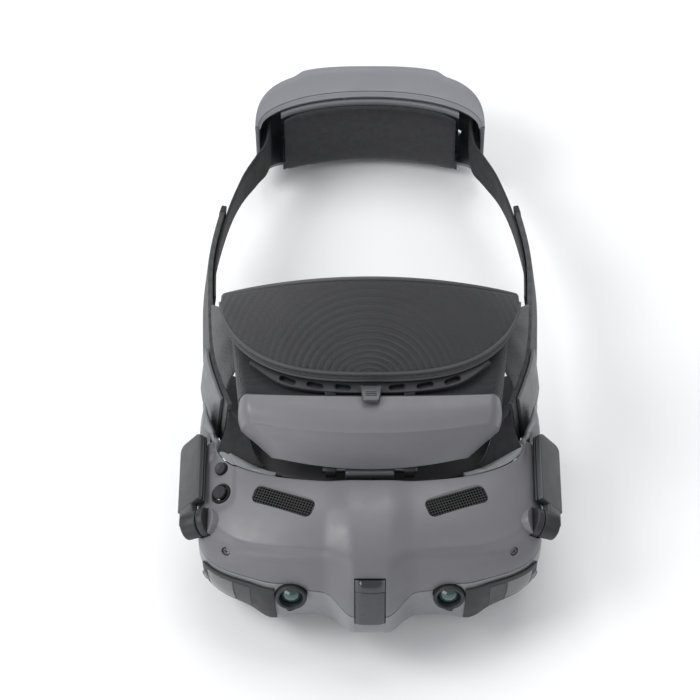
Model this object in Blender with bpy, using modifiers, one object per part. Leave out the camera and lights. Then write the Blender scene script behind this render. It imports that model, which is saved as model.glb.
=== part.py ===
"""Head-worn video goggles with folding antennas, a tilting forehead support and a battery on the headband.

Metres, +Z up, the goggles face -Y and the battery is at +Y. The origin is on the surface that the
goggles stand on, under the middle of the whole assembly. Run it in Blender's text editor, or with
blender --background --python part.py.
"""

import math
from collections import namedtuple

import bmesh
import bpy
from mathutils import Matrix, Vector

MM = 0.001
GAP = 0.35 * MM  # free space between two pieces that lie against each other

# ---------------------------------------------------------------- driving sizes
SHELL_WALL = 1.8 * MM
SEAM = 0.25 * MM  # half the width of the line between two shells

RIDGE_FLAT, RIDGE_FOOT = 7.0 * MM, 21.0 * MM  # the raised middle of the face
NOSE_FLAT, NOSE_FOOT = 5.0 * MM, 19.0 * MM  # the notch for the wearer's nose
CHEEK_X, CHEEK_SPREAD = 44.0 * MM, 7.5 * MM  # where each camera pod bulges most

EYE_X, EYE_Z = 32.0 * MM, 38.0 * MM  # optical axis of each eye
EYE_TRAVEL = 4.0 * MM  # each way, from 56 to 72 mm between the eyes
BARREL_RADIUS, BARREL_WALL = 16.5 * MM, 1.6 * MM
BARREL_FRONT, BARREL_BACK = -97.0 * MM, -60.0 * MM
FOCUS_TRAVEL = 2.0 * MM

HINGE = Vector((78.0, -90.0, 53.0)) * MM  # middle of the antenna hinge
HINGE_DROP = math.radians(26.0)  # how far the hinge axis falls away from the head
BLADE_LEAN = math.radians(35.0)  # how far the folded blade's top edge leans in to the head
BLADE_START, BLADE_END = 9.0 * MM, 44.5 * MM  # distances behind the hinge
BLADE_WIDTH, BLADE_THICK, BLADE_OUT = 17.0 * MM, 4.4 * MM, 2.0 * MM
HINGE_RADIUS = 6.4 * MM

CAMERA = Vector((35.0, -115.5, 38.0)) * MM
CAMERA_RADIUS, LENS_RADIUS = 7.0 * MM, 4.4 * MM
CAMERA_RISE = math.radians(16.0)

VENT = Vector((38.4, -87.0, 69.0)) * MM
VENT_LENGTH, VENT_WIDTH = 29.0 * MM, 8.6 * MM
VENT_TURN = math.radians(22.0)

BAND_HEIGHT, SLEEVE_THICK, BAND_THICK = 33.0 * MM, 2.6 * MM, 1.5 * MM

POD_FLOOR, POD_TOP = 0.0, 52.0 * MM
POD_HALF, POD_BACK, POD_END = 57.0 * MM, 182.0 * MM, 141.0 * MM
PLATEAU_FLAT, PLATEAU_FOOT, PLATEAU_RISE = 33.0 * MM, 39.0 * MM, 2.6 * MM
DIAL_RADIUS, DIAL_STANDS_OUT, DIAL_Z = 13.0 * MM, 2.2 * MM, 23.0 * MM

# ---------------------------------------------------------------- scene, materials and small tools


def clear_scene():
    for old in list(bpy.data.objects):
        bpy.data.objects.remove(old)


def material(name, colour, roughness, metallic=0.0):
    made = bpy.data.materials.new(name)
    made.use_nodes = True
    shader = made.node_tree.nodes["Principled BSDF"]
    shader.inputs["Base Color"].default_value = (*colour, 1.0)
    shader.inputs["Roughness"].default_value = roughness
    shader.inputs["Metallic"].default_value = metallic
    return made


clear_scene()
PARTS = bpy.data.collections.new("fpv_goggles")
CUTTERS = bpy.data.collections.new("cutters")
for group in (PARTS, CUTTERS):
    bpy.context.scene.collection.children.link(group)
CUTTERS.hide_render = True
ASSEMBLY = bpy.data.objects.new("assembly", None)
PARTS.objects.link(ASSEMBLY)

SHELL_GREY = material("shell_grey", (0.16, 0.165, 0.175), 0.45)
LIGHT_GREY = material("light_grey", (0.22, 0.23, 0.24), 0.45)
DARK_PLASTIC = material("dark_plastic", (0.03, 0.03, 0.034), 0.5)
GLOSS_BLACK = material("gloss_black", (0.01, 0.01, 0.012), 0.12)
FABRIC = material("fabric", (0.045, 0.045, 0.047), 0.9)
PAD = material("pad", (0.035, 0.035, 0.036), 0.95)
RUBBER = material("rubber", (0.02, 0.02, 0.02), 0.8)
GLASS = material("lens_glass", (0.05, 0.09, 0.08), 0.05)
STEEL = material("steel", (0.5, 0.5, 0.52), 0.3, 1.0)
ALUMINIUM = material("aluminium", (0.6, 0.6, 0.62), 0.4, 1.0)
CIRCUIT = material("circuit", (0.02, 0.12, 0.05), 0.5)


def smoothstep(low, high, value):
    share = min(1.0, max(0.0, (value - low) / (high - low)))
    return share * share * (3.0 - 2.0 * share)


def lerp(a, b, share):
    return a + (b - a) * share


def catmull(values, place):
    """The value at a place along a list, on a smooth curve through its values."""
    last = len(values) - 1
    first = min(int(place), last - 1)
    share = place - first
    before, start = values[max(first - 1, 0)], values[first]
    end, after = values[first + 1], values[min(first + 2, last)]
    slope_in, slope_out = (end - before) / 2, (after - start) / 2
    square, cube = share**2, share**3
    return (
        start * (2 * cube - 3 * square + 1)
        + slope_in * (cube - 2 * square + share)
        + end * (3 * square - 2 * cube)
        + slope_out * (cube - square)
    )


def add_object(name, bm, look, group=PARTS, parent=ASSEMBLY):
    bmesh.ops.recalc_face_normals(bm, faces=bm.faces[:])
    mesh = bpy.data.meshes.new(name)
    bm.to_mesh(mesh)
    bm.free()
    made = bpy.data.objects.new(name, mesh)
    group.objects.link(made)
    made.parent = parent
    if look:
        mesh.materials.append(look)
    mesh.shade_smooth()
    mesh.set_sharp_from_angle(angle=math.radians(35))
    if group is CUTTERS:
        made.hide_render = True
        made.display_type = "WIRE"
    return made


def bevel(obj, width, segments=1):
    rounding = obj.modifiers.new("rounded_edges", "BEVEL")
    rounding.width = width
    rounding.segments = segments
    rounding.limit_method = "ANGLE"
    rounding.angle_limit = math.radians(40)
    return obj


def boolean(obj, other, operation="DIFFERENCE"):
    step = obj.modifiers.new(operation.lower(), "BOOLEAN")
    step.operation = operation
    step.object = other
    return obj


def box(name, size, centre, look, group=PARTS, turn=None):
    bm = bmesh.new()
    bmesh.ops.create_cube(bm, size=1.0)
    bmesh.ops.scale(bm, vec=size, verts=bm.verts[:])
    made = add_object(name, bm, look, group)
    made.matrix_local = Matrix.Translation(centre) @ (turn or Matrix.Identity(4))
    return made


def along(direction):
    """A rotation that takes +Z to a direction."""
    return Vector(direction).to_track_quat("Z", "Y").to_matrix().to_4x4()


def cylinder(name, radius, start, end, look, group=PARTS, segments=24, end_radius=None):
    """A round bar from one point to another."""
    start, end = Vector(start), Vector(end)
    bm = bmesh.new()
    bmesh.ops.create_cone(
        bm,
        cap_ends=True,
        segments=segments,
        radius1=radius,
        radius2=radius if end_radius is None else end_radius,
        depth=(end - start).length,
    )
    made = add_object(name, bm, look, group)
    made.matrix_local = Matrix.Translation((start + end) / 2) @ along(end - start)
    return made


def turned(name, profile, look, centre, direction, steps=24, group=PARTS):
    """A closed turned shape: radius and height pairs, from the top of the axis round to its foot."""
    bm = bmesh.new()
    verts = [bm.verts.new((radius, 0.0, height)) for radius, height in profile]
    for first, second in zip(verts, verts[1:]):
        bm.edges.new((first, second))
    mesh = bpy.data.meshes.new(name)
    bm.to_mesh(mesh)
    bm.free()
    made = bpy.data.objects.new(name, mesh)
    group.objects.link(made)
    made.parent = ASSEMBLY
    mesh.materials.append(look)
    turn = made.modifiers.new("turned", "SCREW")
    turn.steps = turn.render_steps = steps
    turn.use_merge_vertices = True
    turn.merge_threshold = 0.00001
    made.matrix_local = Matrix.Translation(centre) @ along(direction)
    return made


def tube(name, outer, inner, start, end, look, segments=24):
    """A round tube from one point to another."""
    made = cylinder(name, outer, start, end, look, segments=segments)
    reach = (Vector(end) - Vector(start)).normalized() * 2 * MM
    bore = cylinder(
        name + "_bore", inner, Vector(start) - reach, Vector(end) + reach, None, CUTTERS, segments
    )
    return boolean(made, bore)


def sheet(name, rows, thickness, look, inside, group=PARTS):
    """An open surface through rows of points, thickened towards the point inside."""
    bm = bmesh.new()
    grid = [[bm.verts.new(point) for point in row] for row in rows]
    for upper, lower in zip(grid, grid[1:]):
        for column in range(len(upper) - 1):
            bm.faces.new((upper[column], upper[column + 1], lower[column + 1], lower[column]))
    made = add_object(name, bm, look, group)
    middle = made.data.polygons[len(made.data.polygons) // 2]
    if middle.normal.dot(middle.center - Vector(inside)) < 0:
        made.data.flip_normals()
    wall = made.modifiers.new("wall", "SOLIDIFY")
    wall.thickness = thickness
    wall.offset = -1.0
    return made


def loft(name, sections, look, group=PARTS, ring=False):
    """A solid through closed sections with as many points each: capped at both ends, or a closed ring."""
    bm = bmesh.new()
    made = [[bm.verts.new(point) for point in section] for section in sections]
    pairs = list(zip(made, made[1:]))
    if ring:
        pairs.append((made[-1], made[0]))
    count = len(made[0])
    for first, second in pairs:
        for k in range(count):
            after = (k + 1) % count
            bm.faces.new((first[k], first[after], second[after], second[k]))
    if not ring:
        bm.faces.new(made[0])
        bm.faces.new(made[-1])
    return add_object(name, bm, look, group)


def superellipse(angle, squareness):
    """A point of the unit superellipse: 0 is straight ahead, 90 degrees is the side."""
    side, ahead = math.sin(angle), math.cos(angle)
    reach = (abs(side) ** squareness + abs(ahead) ** squareness) ** (-1 / squareness)
    return reach * side, reach * ahead


def fan_of_angles(half_count, crowding):
    """Angles from one side to the other, closer together in the middle."""
    shares = [k / half_count for k in range(-half_count, half_count + 1)]
    return [math.copysign(abs(share) ** crowding, share) * math.pi / 2 for share in shares]


def mirror(point, side):
    return Vector((point[0] * side, point[1], point[2]))


SIDES = (("right", 1), ("left", -1))  # right and left of someone who faces the goggles

# ---------------------------------------------------------------- the body's outer skin
# Each row runs round the body from one temple to the other, in millimetres and in order from the top
# rear edge, over the brow and down the front, to the rear edge of the underside.
BodyRow = namedtuple(
    "BodyRow", "mid_z side_z front_y half_x back_y square wrap ridge_out ridge_up cheek nose"
)
BODY_ROWS = [
    BodyRow(71.0, 62.0, -79.0, 70.2, -50.0, 2.2, 0.0, 0.0, 1.5, 0.0, 0.0),  # rear top edge
    BodyRow(71.0, 60.0, -94.0, 70.5, -54.0, 3.0, 4.0, 1.0, 2.4, 0.0, 0.0),  # top
    BodyRow(65.5, 56.5, -109.5, 73.5, -58.0, 5.0, 8.0, 4.0, 2.6, 0.0, 0.0),  # brow
    BodyRow(56.5, 51.0, -114.5, 77.0, -61.0, 7.0, 11.0, 7.5, 1.0, 0.0, 0.0),  # slope
    BodyRow(46.0, 44.5, -117.5, 77.5, -62.0, 9.0, 12.0, 9.5, 0.5, 1.0, 0.0),  # parting line
    BodyRow(34.0, 33.0, -117.5, 77.5, -62.0, 9.0, 12.0, 12.5, 0.0, 4.0, 1.0),  # cameras
    BodyRow(20.0, 20.0, -115.5, 76.5, -61.0, 7.0, 11.0, 15.0, 0.0, 5.0, 8.0),  # lower front
    BodyRow(8.0, 8.0, -111.0, 74.0, -58.0, 6.0, 9.0, 11.5, 0.0, 3.0, 18.0),  # chin
    BodyRow(1.4, 1.4, -103.0, 70.5, -53.0, 5.0, 6.0, 5.0, 0.0, 0.0, 23.5),  # front of the underside
    BodyRow(0.0, 0.0, -92.0, 66.0, -46.0, 4.0, 3.0, 2.0, 0.0, 0.0, 25.0),  # underside
    BodyRow(0.0, 0.0, -62.0, 59.0, -40.0, 2.4, 0.0, 0.0, 0.0, 0.0, 25.0),  # rear edge below
]
TOP_EDGE, PARTING_LINE, UNDERSIDE, REAR_EDGE = 0.0, 4.0, 8.9, 10.0
SIDE_DROP = 2.2  # how late a row turns down towards the temples
BODY_ANGLES = fan_of_angles(11, 1.2)
BODY_INSIDE = Vector((0.0, -75.0, 36.0)) * MM


def body_point(place, angle, lift=0.0):
    """The skin at a place down the rows and an angle round the body, moved outwards by lift."""
    row = BodyRow(*[catmull(column, place) for column in zip(*BODY_ROWS)])
    across, ahead = superellipse(angle, row.square)
    x = row.half_x * MM * across
    y = (row.back_y + (row.front_y - row.back_y) * ahead + row.wrap * abs(across) ** 2.5) * MM
    z = (row.mid_z + (row.side_z - row.mid_z) * abs(across) ** SIDE_DROP) * MM
    ridge = 1.0 - smoothstep(RIDGE_FLAT, RIDGE_FOOT, abs(x))
    cheek = math.exp(-(((abs(x) - CHEEK_X) / CHEEK_SPREAD) ** 2))
    nose = 1.0 - smoothstep(NOSE_FLAT, NOSE_FOOT, abs(x))
    point = Vector((x, y, max(z, 0.0)))
    point.y -= (ridge * row.ridge_out + cheek * row.cheek) * MM
    point.z += (ridge * row.ridge_up + nose * row.nose) * MM
    if lift:
        point += body_normal(place, angle) * lift
    return point


def body_normal(place, angle):
    step = 0.02
    low, high = max(TOP_EDGE, place - step), min(REAR_EDGE, place + step)
    down = body_point(high, angle) - body_point(low, angle)
    left = max(-math.pi / 2, angle - step)
    right = min(math.pi / 2, angle + step)
    across = body_point(place, right) - body_point(place, left)
    return down.cross(across).normalized()


def body_frame(place, angle):
    """Where a piece on the skin sits, with +Z out of the skin."""
    return Matrix.Translation(body_point(place, angle)) @ along(body_normal(place, angle))


def body_rows(start, end, count, angles=BODY_ANGLES, lift=0.0):
    places = [lerp(start, end, k / (count - 1)) for k in range(count)]
    return [[body_point(place, angle, lift) for angle in angles] for place in places]


def skin_piece(name, start, end, count, look, angles=BODY_ANGLES, wall=SHELL_WALL, lift=0.0):
    rows = body_rows(start, end, count, angles, lift)
    return sheet(name, rows, wall, look, BODY_INSIDE)


SEAM_STEP = SEAM / (10.0 * MM)  # the rows are about 10 mm apart
top_shell = skin_piece("top_shell", TOP_EDGE, PARTING_LINE - SEAM_STEP, 8, SHELL_GREY)
front_shell = skin_piece(
    "front_shell", PARTING_LINE + SEAM_STEP, UNDERSIDE - SEAM_STEP, 8, LIGHT_GREY
)
bottom_cover = skin_piece("bottom_cover", UNDERSIDE + 3 * SEAM_STEP, REAR_EDGE, 3, SHELL_GREY)


def plug_cut(target, name, frame, depth, shape):
    """Cuts a hole through a shell along a frame's own Z axis, both ways by depth."""
    cutter = shape(name, depth)
    cutter.matrix_local = frame
    return boolean(target, cutter)


def pill(name, length, width, thickness, look, group=PARTS, ends=6):
    """A flat piece with round ends, lying in its own XY plane and centred."""
    outline = []
    for centre, start in ((length - width, -math.pi / 2), (width - length, math.pi / 2)):
        for k in range(ends + 1):
            angle = start + math.pi * k / ends
            outline.append(
                (centre / 2 + math.cos(angle) * width / 2, math.sin(angle) * width / 2)
            )
    sections = [
        [Vector((x, y, z)) for x, y in outline] for z in (-thickness / 2, thickness / 2)
    ]
    return loft(name, sections, look, group)


# ---------------------------------------------------------------- grilles, nose bar, bezels and cameras
def find_on_skin(x, y, low, high):
    """The place and angle where the skin passes over a plan position, found by bisection."""
    angle = 0.0
    for _ in range(40):
        middle = (low + high) / 2
        left, right = 0.0, math.pi / 2
        for _ in range(40):
            angle = (left + right) / 2
            if body_point(middle, angle).x < abs(x):
                left = angle
            else:
                right = angle
        if body_point(middle, angle).y < y:
            high = middle
        else:
            low = middle
    return (low + high) / 2, math.copysign(angle, x)


def vent_frame(side):
    place, angle = find_on_skin(VENT.x, VENT.y, 0.2, 2.0)
    frame = body_frame(place, angle)
    normal = frame.to_3x3().col[2]
    run = Vector((math.cos(VENT_TURN), math.sin(VENT_TURN), 0.0))
    run = (run - normal * run.dot(normal)).normalized()
    turn = Matrix((run, normal.cross(run), normal)).transposed().to_4x4()
    made = Matrix.Translation(frame.translation) @ turn
    if side > 0:
        return made
    flip = Matrix.Diagonal((-1.0, 1.0, 1.0, 1.0))
    return flip @ made @ flip


GRILLE_THICK, GRILLE_SINK = 1.0 * MM, 1.1 * MM
for label, side in SIDES:
    frame = vent_frame(side)
    hole = pill(f"vent_{label}_hole", VENT_LENGTH, VENT_WIDTH, 14 * MM, None, CUTTERS)
    hole.matrix_local = frame
    boolean(top_shell, hole)
    grille = pill(
        f"vent_grille_{label}",
        VENT_LENGTH - 2 * GAP,
        VENT_WIDTH - 2 * GAP,
        GRILLE_THICK,
        DARK_PLASTIC,
    )
    grille.matrix_local = frame @ Matrix.Translation((0.0, 0.0, -GRILLE_SINK))

BAR_HALF, BAR_STANDS_OUT, BAR_WALL = 5.6 * MM, 0.8 * MM, 2.2 * MM
BAR_TOP, BAR_FOOT = 2.75, 5.15  # places down the rows


def ridge_block(name, half, top, foot, lift, wall, look, group=PARTS):
    """A slab that follows the middle ridge."""
    xs = [half * k / 2 for k in range(-2, 3)]
    places = [lerp(top, foot, k / 6) for k in range(7)]
    rows = []
    for place in places:
        middle = body_point(place, 0.0)
        normal = body_normal(place, 0.0)
        rows.append([Vector((x, middle.y, middle.z)) + normal * lift for x in xs])
    return sheet(name, rows, wall, look, BODY_INSIDE, group)


nose_bar = ridge_block("nose_bar", BAR_HALF, BAR_TOP, BAR_FOOT, BAR_STANDS_OUT, BAR_WALL, GLOSS_BLACK)
bar_slot = ridge_block(
    "nose_bar_slot",
    BAR_HALF + GAP,
    BAR_TOP - GAP / (10 * MM),
    BAR_FOOT + GAP / (10 * MM),
    3 * MM,
    9 * MM,
    None,
    CUTTERS,
)
boolean(top_shell, bar_slot)
boolean(front_shell, bar_slot)

BEZEL_START, BEZEL_END = math.radians(30.5), math.radians(46.5)
BEZEL_WALL = 1.1 * MM
for label, side in SIDES:
    angles = [side * lerp(BEZEL_START, BEZEL_END, k / 6) for k in range(7)]
    skin_piece(
        f"bezel_{label}", 4.25, 5.9, 5, GLOSS_BLACK, angles, BEZEL_WALL, GAP + BEZEL_WALL
    )
    place = mirror(CAMERA, side)
    looks_at = Vector((0.0, -math.cos(CAMERA_RISE), math.sin(CAMERA_RISE)))
    hole = cylinder(
        f"camera_{label}_hole",
        CAMERA_RADIUS + GAP,
        place - looks_at * 16 * MM,
        place + looks_at * 16 * MM,
        None,
        CUTTERS,
    )
    boolean(front_shell, hole)
    boolean(top_shell, hole)
    body = tube(
        f"camera_ring_{label}",
        CAMERA_RADIUS,
        LENS_RADIUS + GAP,
        place - looks_at * 7 * MM,
        place + looks_at * 5.0 * MM,
        DARK_PLASTIC,
    )
    turned(
        f"camera_lens_{label}",
        [(0.0, 4.2 * MM), (2.4 * MM, 3.8 * MM), (LENS_RADIUS, 2.6 * MM), (LENS_RADIUS, -6 * MM), (0.0, -6 * MM)],
        GLASS,
        place,
        looks_at,
        16,
    )
for label, side in SIDES:
    bezel = bpy.data.objects[f"bezel_{label}"]
    boolean(bezel, bpy.data.objects[f"camera_{label}_hole"])

# ---------------------------------------------------------------- small screws in the top shell
SCREW_RADIUS = 1.7 * MM
for label, side in SIDES:
    place, angle = find_on_skin(64.0 * MM, -104.5 * MM, 2.0, 4.0)
    frame = body_frame(place, side * angle)
    out = frame.to_3x3().col[2]
    at = frame.translation
    hole = cylinder(
        f"screw_{label}_hole", SCREW_RADIUS + GAP, at - out * 5 * MM, at + out * 5 * MM, None, CUTTERS, 16
    )
    boolean(top_shell, hole)
    cylinder(
        f"screw_{label}", SCREW_RADIUS, at - out * 5.0 * MM, at - out * 0.5 * MM, STEEL, segments=16
    )

# ---------------------------------------------------------------- antennas
BOSS_GAP = 3.0 * MM  # from the middle of the hinge to the knuckle's inner face
KNUCKLE_OUT, PIN_OF_HINGE = 4.8 * MM, 2.2 * MM
BOSS_DEPTH = 14.0 * MM


def antenna_axes(side):
    """The hinge axis, then the folded blade's length, width and the way its broad face looks."""
    axis = Vector((side * math.cos(HINGE_DROP), 0.0, -math.sin(HINGE_DROP)))
    face = Vector((side * math.cos(BLADE_LEAN), 0.0, math.sin(BLADE_LEAN)))
    width = Vector((-side * math.sin(BLADE_LEAN), 0.0, math.cos(BLADE_LEAN)))
    return axis, Vector((0.0, 1.0, 0.0)), width, face


def blade_outline(corner=3.6 * MM):
    """Distances along and across the blade, with rounded corners at its free end."""
    half = BLADE_WIDTH / 2
    turn = [math.pi / 2 * k / 3 for k in range(4)]
    low = [
        (BLADE_END - corner + corner * math.sin(a), -half + corner - corner * math.cos(a))
        for a in turn
    ]
    high = [
        (BLADE_END - corner + corner * math.cos(a), half - corner + corner * math.sin(a))
        for a in turn
    ]
    return [(BLADE_START, half), (BLADE_START, -half)] + low + high


for label, side in SIDES:
    axis, run, width, face = antenna_axes(side)
    centre = mirror(HINGE, side)
    middle = centre + Vector((side * BLADE_OUT, 0.0, 0.0))
    half_thick = face * BLADE_THICK / 2
    sections = [
        [middle + offset + run * a + width * b for a, b in blade_outline()]
        for offset in (-half_thick, half_thick)
    ]
    blade = bevel(loft(f"antenna_{label}", sections, SHELL_GREY), 0.8 * MM)
    knuckle = cylinder(
        f"antenna_{label}_knuckle",
        HINGE_RADIUS - 0.2 * MM,
        centre - axis * BOSS_GAP,
        centre + axis * KNUCKLE_OUT,
        None,
        CUTTERS,
        20,
    )
    neck_size = (BLADE_THICK - 0.3 * MM, BLADE_START + 1.0 * MM, 10.0 * MM)
    neck = box(f"antenna_{label}_neck", neck_size, (0, 0, 0), None, CUTTERS)
    neck.matrix_local = Matrix.Translation(
        middle + run * neck_size[1] / 2 - width * 2.2 * MM
    ) @ Matrix((face, run, width)).transposed().to_4x4()
    bore = cylinder(
        f"antenna_{label}_bore",
        PIN_OF_HINGE + GAP,
        centre - axis * 20 * MM,
        centre + axis * 20 * MM,
        None,
        CUTTERS,
        20,
    )
    boolean(blade, neck, "UNION")
    boolean(blade, knuckle, "UNION")
    boolean(blade, bore)
    boss_face = centre - axis * (BOSS_GAP + GAP)
    inward = Vector((-side, 0.0, 0.0))
    boss = cylinder(
        f"antenna_mount_{label}",
        HINGE_RADIUS,
        boss_face - axis * 3.4 * MM,
        boss_face,
        DARK_PLASTIC,
        segments=20,
    )
    pedestal = cylinder(
        f"antenna_mount_{label}_foot",
        HINGE_RADIUS - 0.5 * MM,
        boss_face - axis * 2.4 * MM,
        boss_face - axis * 2.4 * MM + inward * BOSS_DEPTH,
        None,
        CUTTERS,
        20,
    )
    pin = cylinder(
        f"antenna_{label}_pin",
        PIN_OF_HINGE,
        boss_face - axis * 2 * MM,
        centre + axis * (KNUCKLE_OUT + 0.6 * MM),
        None,
        CUTTERS,
        20,
    )
    boolean(boss, pedestal, "UNION")
    boolean(boss, pin, "UNION")
    socket = cylinder(
        f"antenna_{label}_socket",
        HINGE_RADIUS + GAP,
        boss_face - axis * 3.8 * MM,
        boss_face + axis * 22 * MM,
        None,
        CUTTERS,
    )
    passage = cylinder(
        f"antenna_{label}_passage",
        HINGE_RADIUS - 0.5 * MM + GAP,
        boss_face - axis * 2.4 * MM,
        boss_face - axis * 2.4 * MM + inward * (BOSS_DEPTH + 4 * MM),
        None,
        CUTTERS,
        20,
    )
    for shell in (top_shell, front_shell):
        boolean(shell, socket)
        boolean(shell, passage)

# ---------------------------------------------------------------- buttons on the shoulder
JOY_RADIUS, JOY_RING, BACK_RADIUS = 3.2 * MM, 4.6 * MM, 2.8 * MM
JOY_PLAN = (-67.0 * MM, -78.0 * MM)
BACK_PLAN = (-67.0 * MM, -66.0 * MM)


def button_frame(plan):
    place, angle = find_on_skin(plan[0], plan[1], 0.1, 3.0)
    return body_frame(place, angle)


def shoulder_button(name, frame, radius, low, high, look):
    out = frame.to_3x3().col[2]
    at = frame.translation
    return bevel(
        cylinder(name, radius, at + out * low, at + out * high, look, segments=24), 0.5 * MM
    )


joy_frame, back_frame = button_frame(JOY_PLAN), button_frame(BACK_PLAN)
for name, frame, radius in (
    ("five_way", joy_frame, JOY_RING + GAP),
    ("back", back_frame, BACK_RADIUS + GAP),
):
    out = frame.to_3x3().col[2]
    hole = cylinder(
        f"{name}_hole",
        radius,
        frame.translation - out * 6 * MM,
        frame.translation + out * 6 * MM,
        None,
        CUTTERS,
        24,
    )
    boolean(top_shell, hole)
out = joy_frame.to_3x3().col[2]
ring = tube(
    "five_way_ring",
    JOY_RING,
    JOY_RADIUS + 0.6 * MM,
    joy_frame.translation - out * 2.2 * MM,
    joy_frame.translation - out * 0.4 * MM,
    DARK_PLASTIC,
    24,
)
shoulder_button("five_way_button", joy_frame, JOY_RADIUS, -3.0 * MM, 1.3 * MM, DARK_PLASTIC)
shoulder_button("back_button", back_frame, BACK_RADIUS, -3.0 * MM, 0.9 * MM, DARK_PLASTIC)

# ---------------------------------------------------------------- rear frame, eye plate and face foam
FaceRing = namedtuple("FaceRing", "half_x low_z high_z mid_y side_y square nose")


def face_ring(shape, count=36):
    """A closed line round the eyes, curved to the face, with the notch for the nose, where it has more points."""
    points = []
    for k in range(count):
        turn = 2.0 * k / count - 1.0
        angle = math.pi * (1.0 + math.copysign(abs(turn) ** 1.6, turn))
        across, up = superellipse(angle, shape.square)
        x = shape.half_x * MM * across
        z = (shape.low_z + shape.high_z) / 2 + (shape.high_z - shape.low_z) / 2 * up
        bend = (abs(x) / (shape.half_x * MM)) ** 2
        y = lerp(shape.mid_y, shape.side_y, bend)
        if up < 0:
            z += shape.nose * (1.0 - smoothstep(NOSE_FLAT, NOSE_FOOT + 3 * MM, abs(x))) / 1.0
        points.append(Vector((x, y * MM, z * MM)))
    return points


rear_frame = loft(
    "rear_frame",
    [
        face_ring(FaceRing(72.0, 3.4, 64.8, -77.0, -56.0, 2.7, 29.3)),
        face_ring(FaceRing(72.0, 3.4, 65.0, -74.5, -52.5, 2.7, 29.3)),
        face_ring(FaceRing(60.8, 5.0, 65.6, -71.0, -49.0, 2.7, 29.3)),
        face_ring(FaceRing(60.5, 6.0, 66.6, -60.0, -36.5, 2.7, 29.3)),
        face_ring(FaceRing(58.0, 8.0, 64.6, -60.0, -37.5, 2.7, 29.3)),
        face_ring(FaceRing(57.6, 5.6, 63.0, -76.5, -54.0, 2.7, 29.3)),
    ],
    DARK_PLASTIC,
    ring=True,
)
face_foam = loft(
    "face_foam",
    [
        face_ring(FaceRing(60.0, 6.6, 66.6, -59.4, -35.9, 2.7, 29.3)),
        face_ring(FaceRing(62.0, 4.5, 68.5, -48.0, -25.0, 2.6, 26.5)),
        face_ring(FaceRing(60.0, 6.5, 67.5, -43.0, -19.0, 2.6, 26.5)),
        face_ring(FaceRing(54.5, 12.5, 61.5, -44.0, -20.0, 2.5, 22.0)),
        face_ring(FaceRing(52.5, 13.5, 60.5, -50.0, -27.0, 2.5, 22.0)),
        face_ring(FaceRing(53.5, 12.0, 61.5, -59.4, -36.5, 2.6, 22.0)),
    ],
    PAD,
    ring=True,
)

PLATE_FRONT, PLATE_BACK = -68.0 * MM, -66.0 * MM
plate_outline = face_ring(FaceRing(55.0, 8.3, 61.0, 0.0, 0.0, 2.7, 29.0))
eye_plate = loft(
    "eye_plate",
    [[Vector((p.x, y, p.z)) for p in plate_outline] for y in (PLATE_FRONT, PLATE_BACK)],
    DARK_PLASTIC,
)
PLATE_CUT_RADIUS = BARREL_RADIUS + 2 * GAP
for label, side in SIDES:
    slot = pill(
        f"eye_slot_{label}",
        2 * (PLATE_CUT_RADIUS + EYE_TRAVEL),
        2 * PLATE_CUT_RADIUS,
        10 * MM,
        None,
        CUTTERS,
        10,
    )
    slot.matrix_local = Matrix.Translation(
        (side * EYE_X, (PLATE_FRONT + PLATE_BACK) / 2, EYE_Z)
    ) @ Matrix.Rotation(math.pi / 2, 4, "X")
    boolean(eye_plate, slot)

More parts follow.
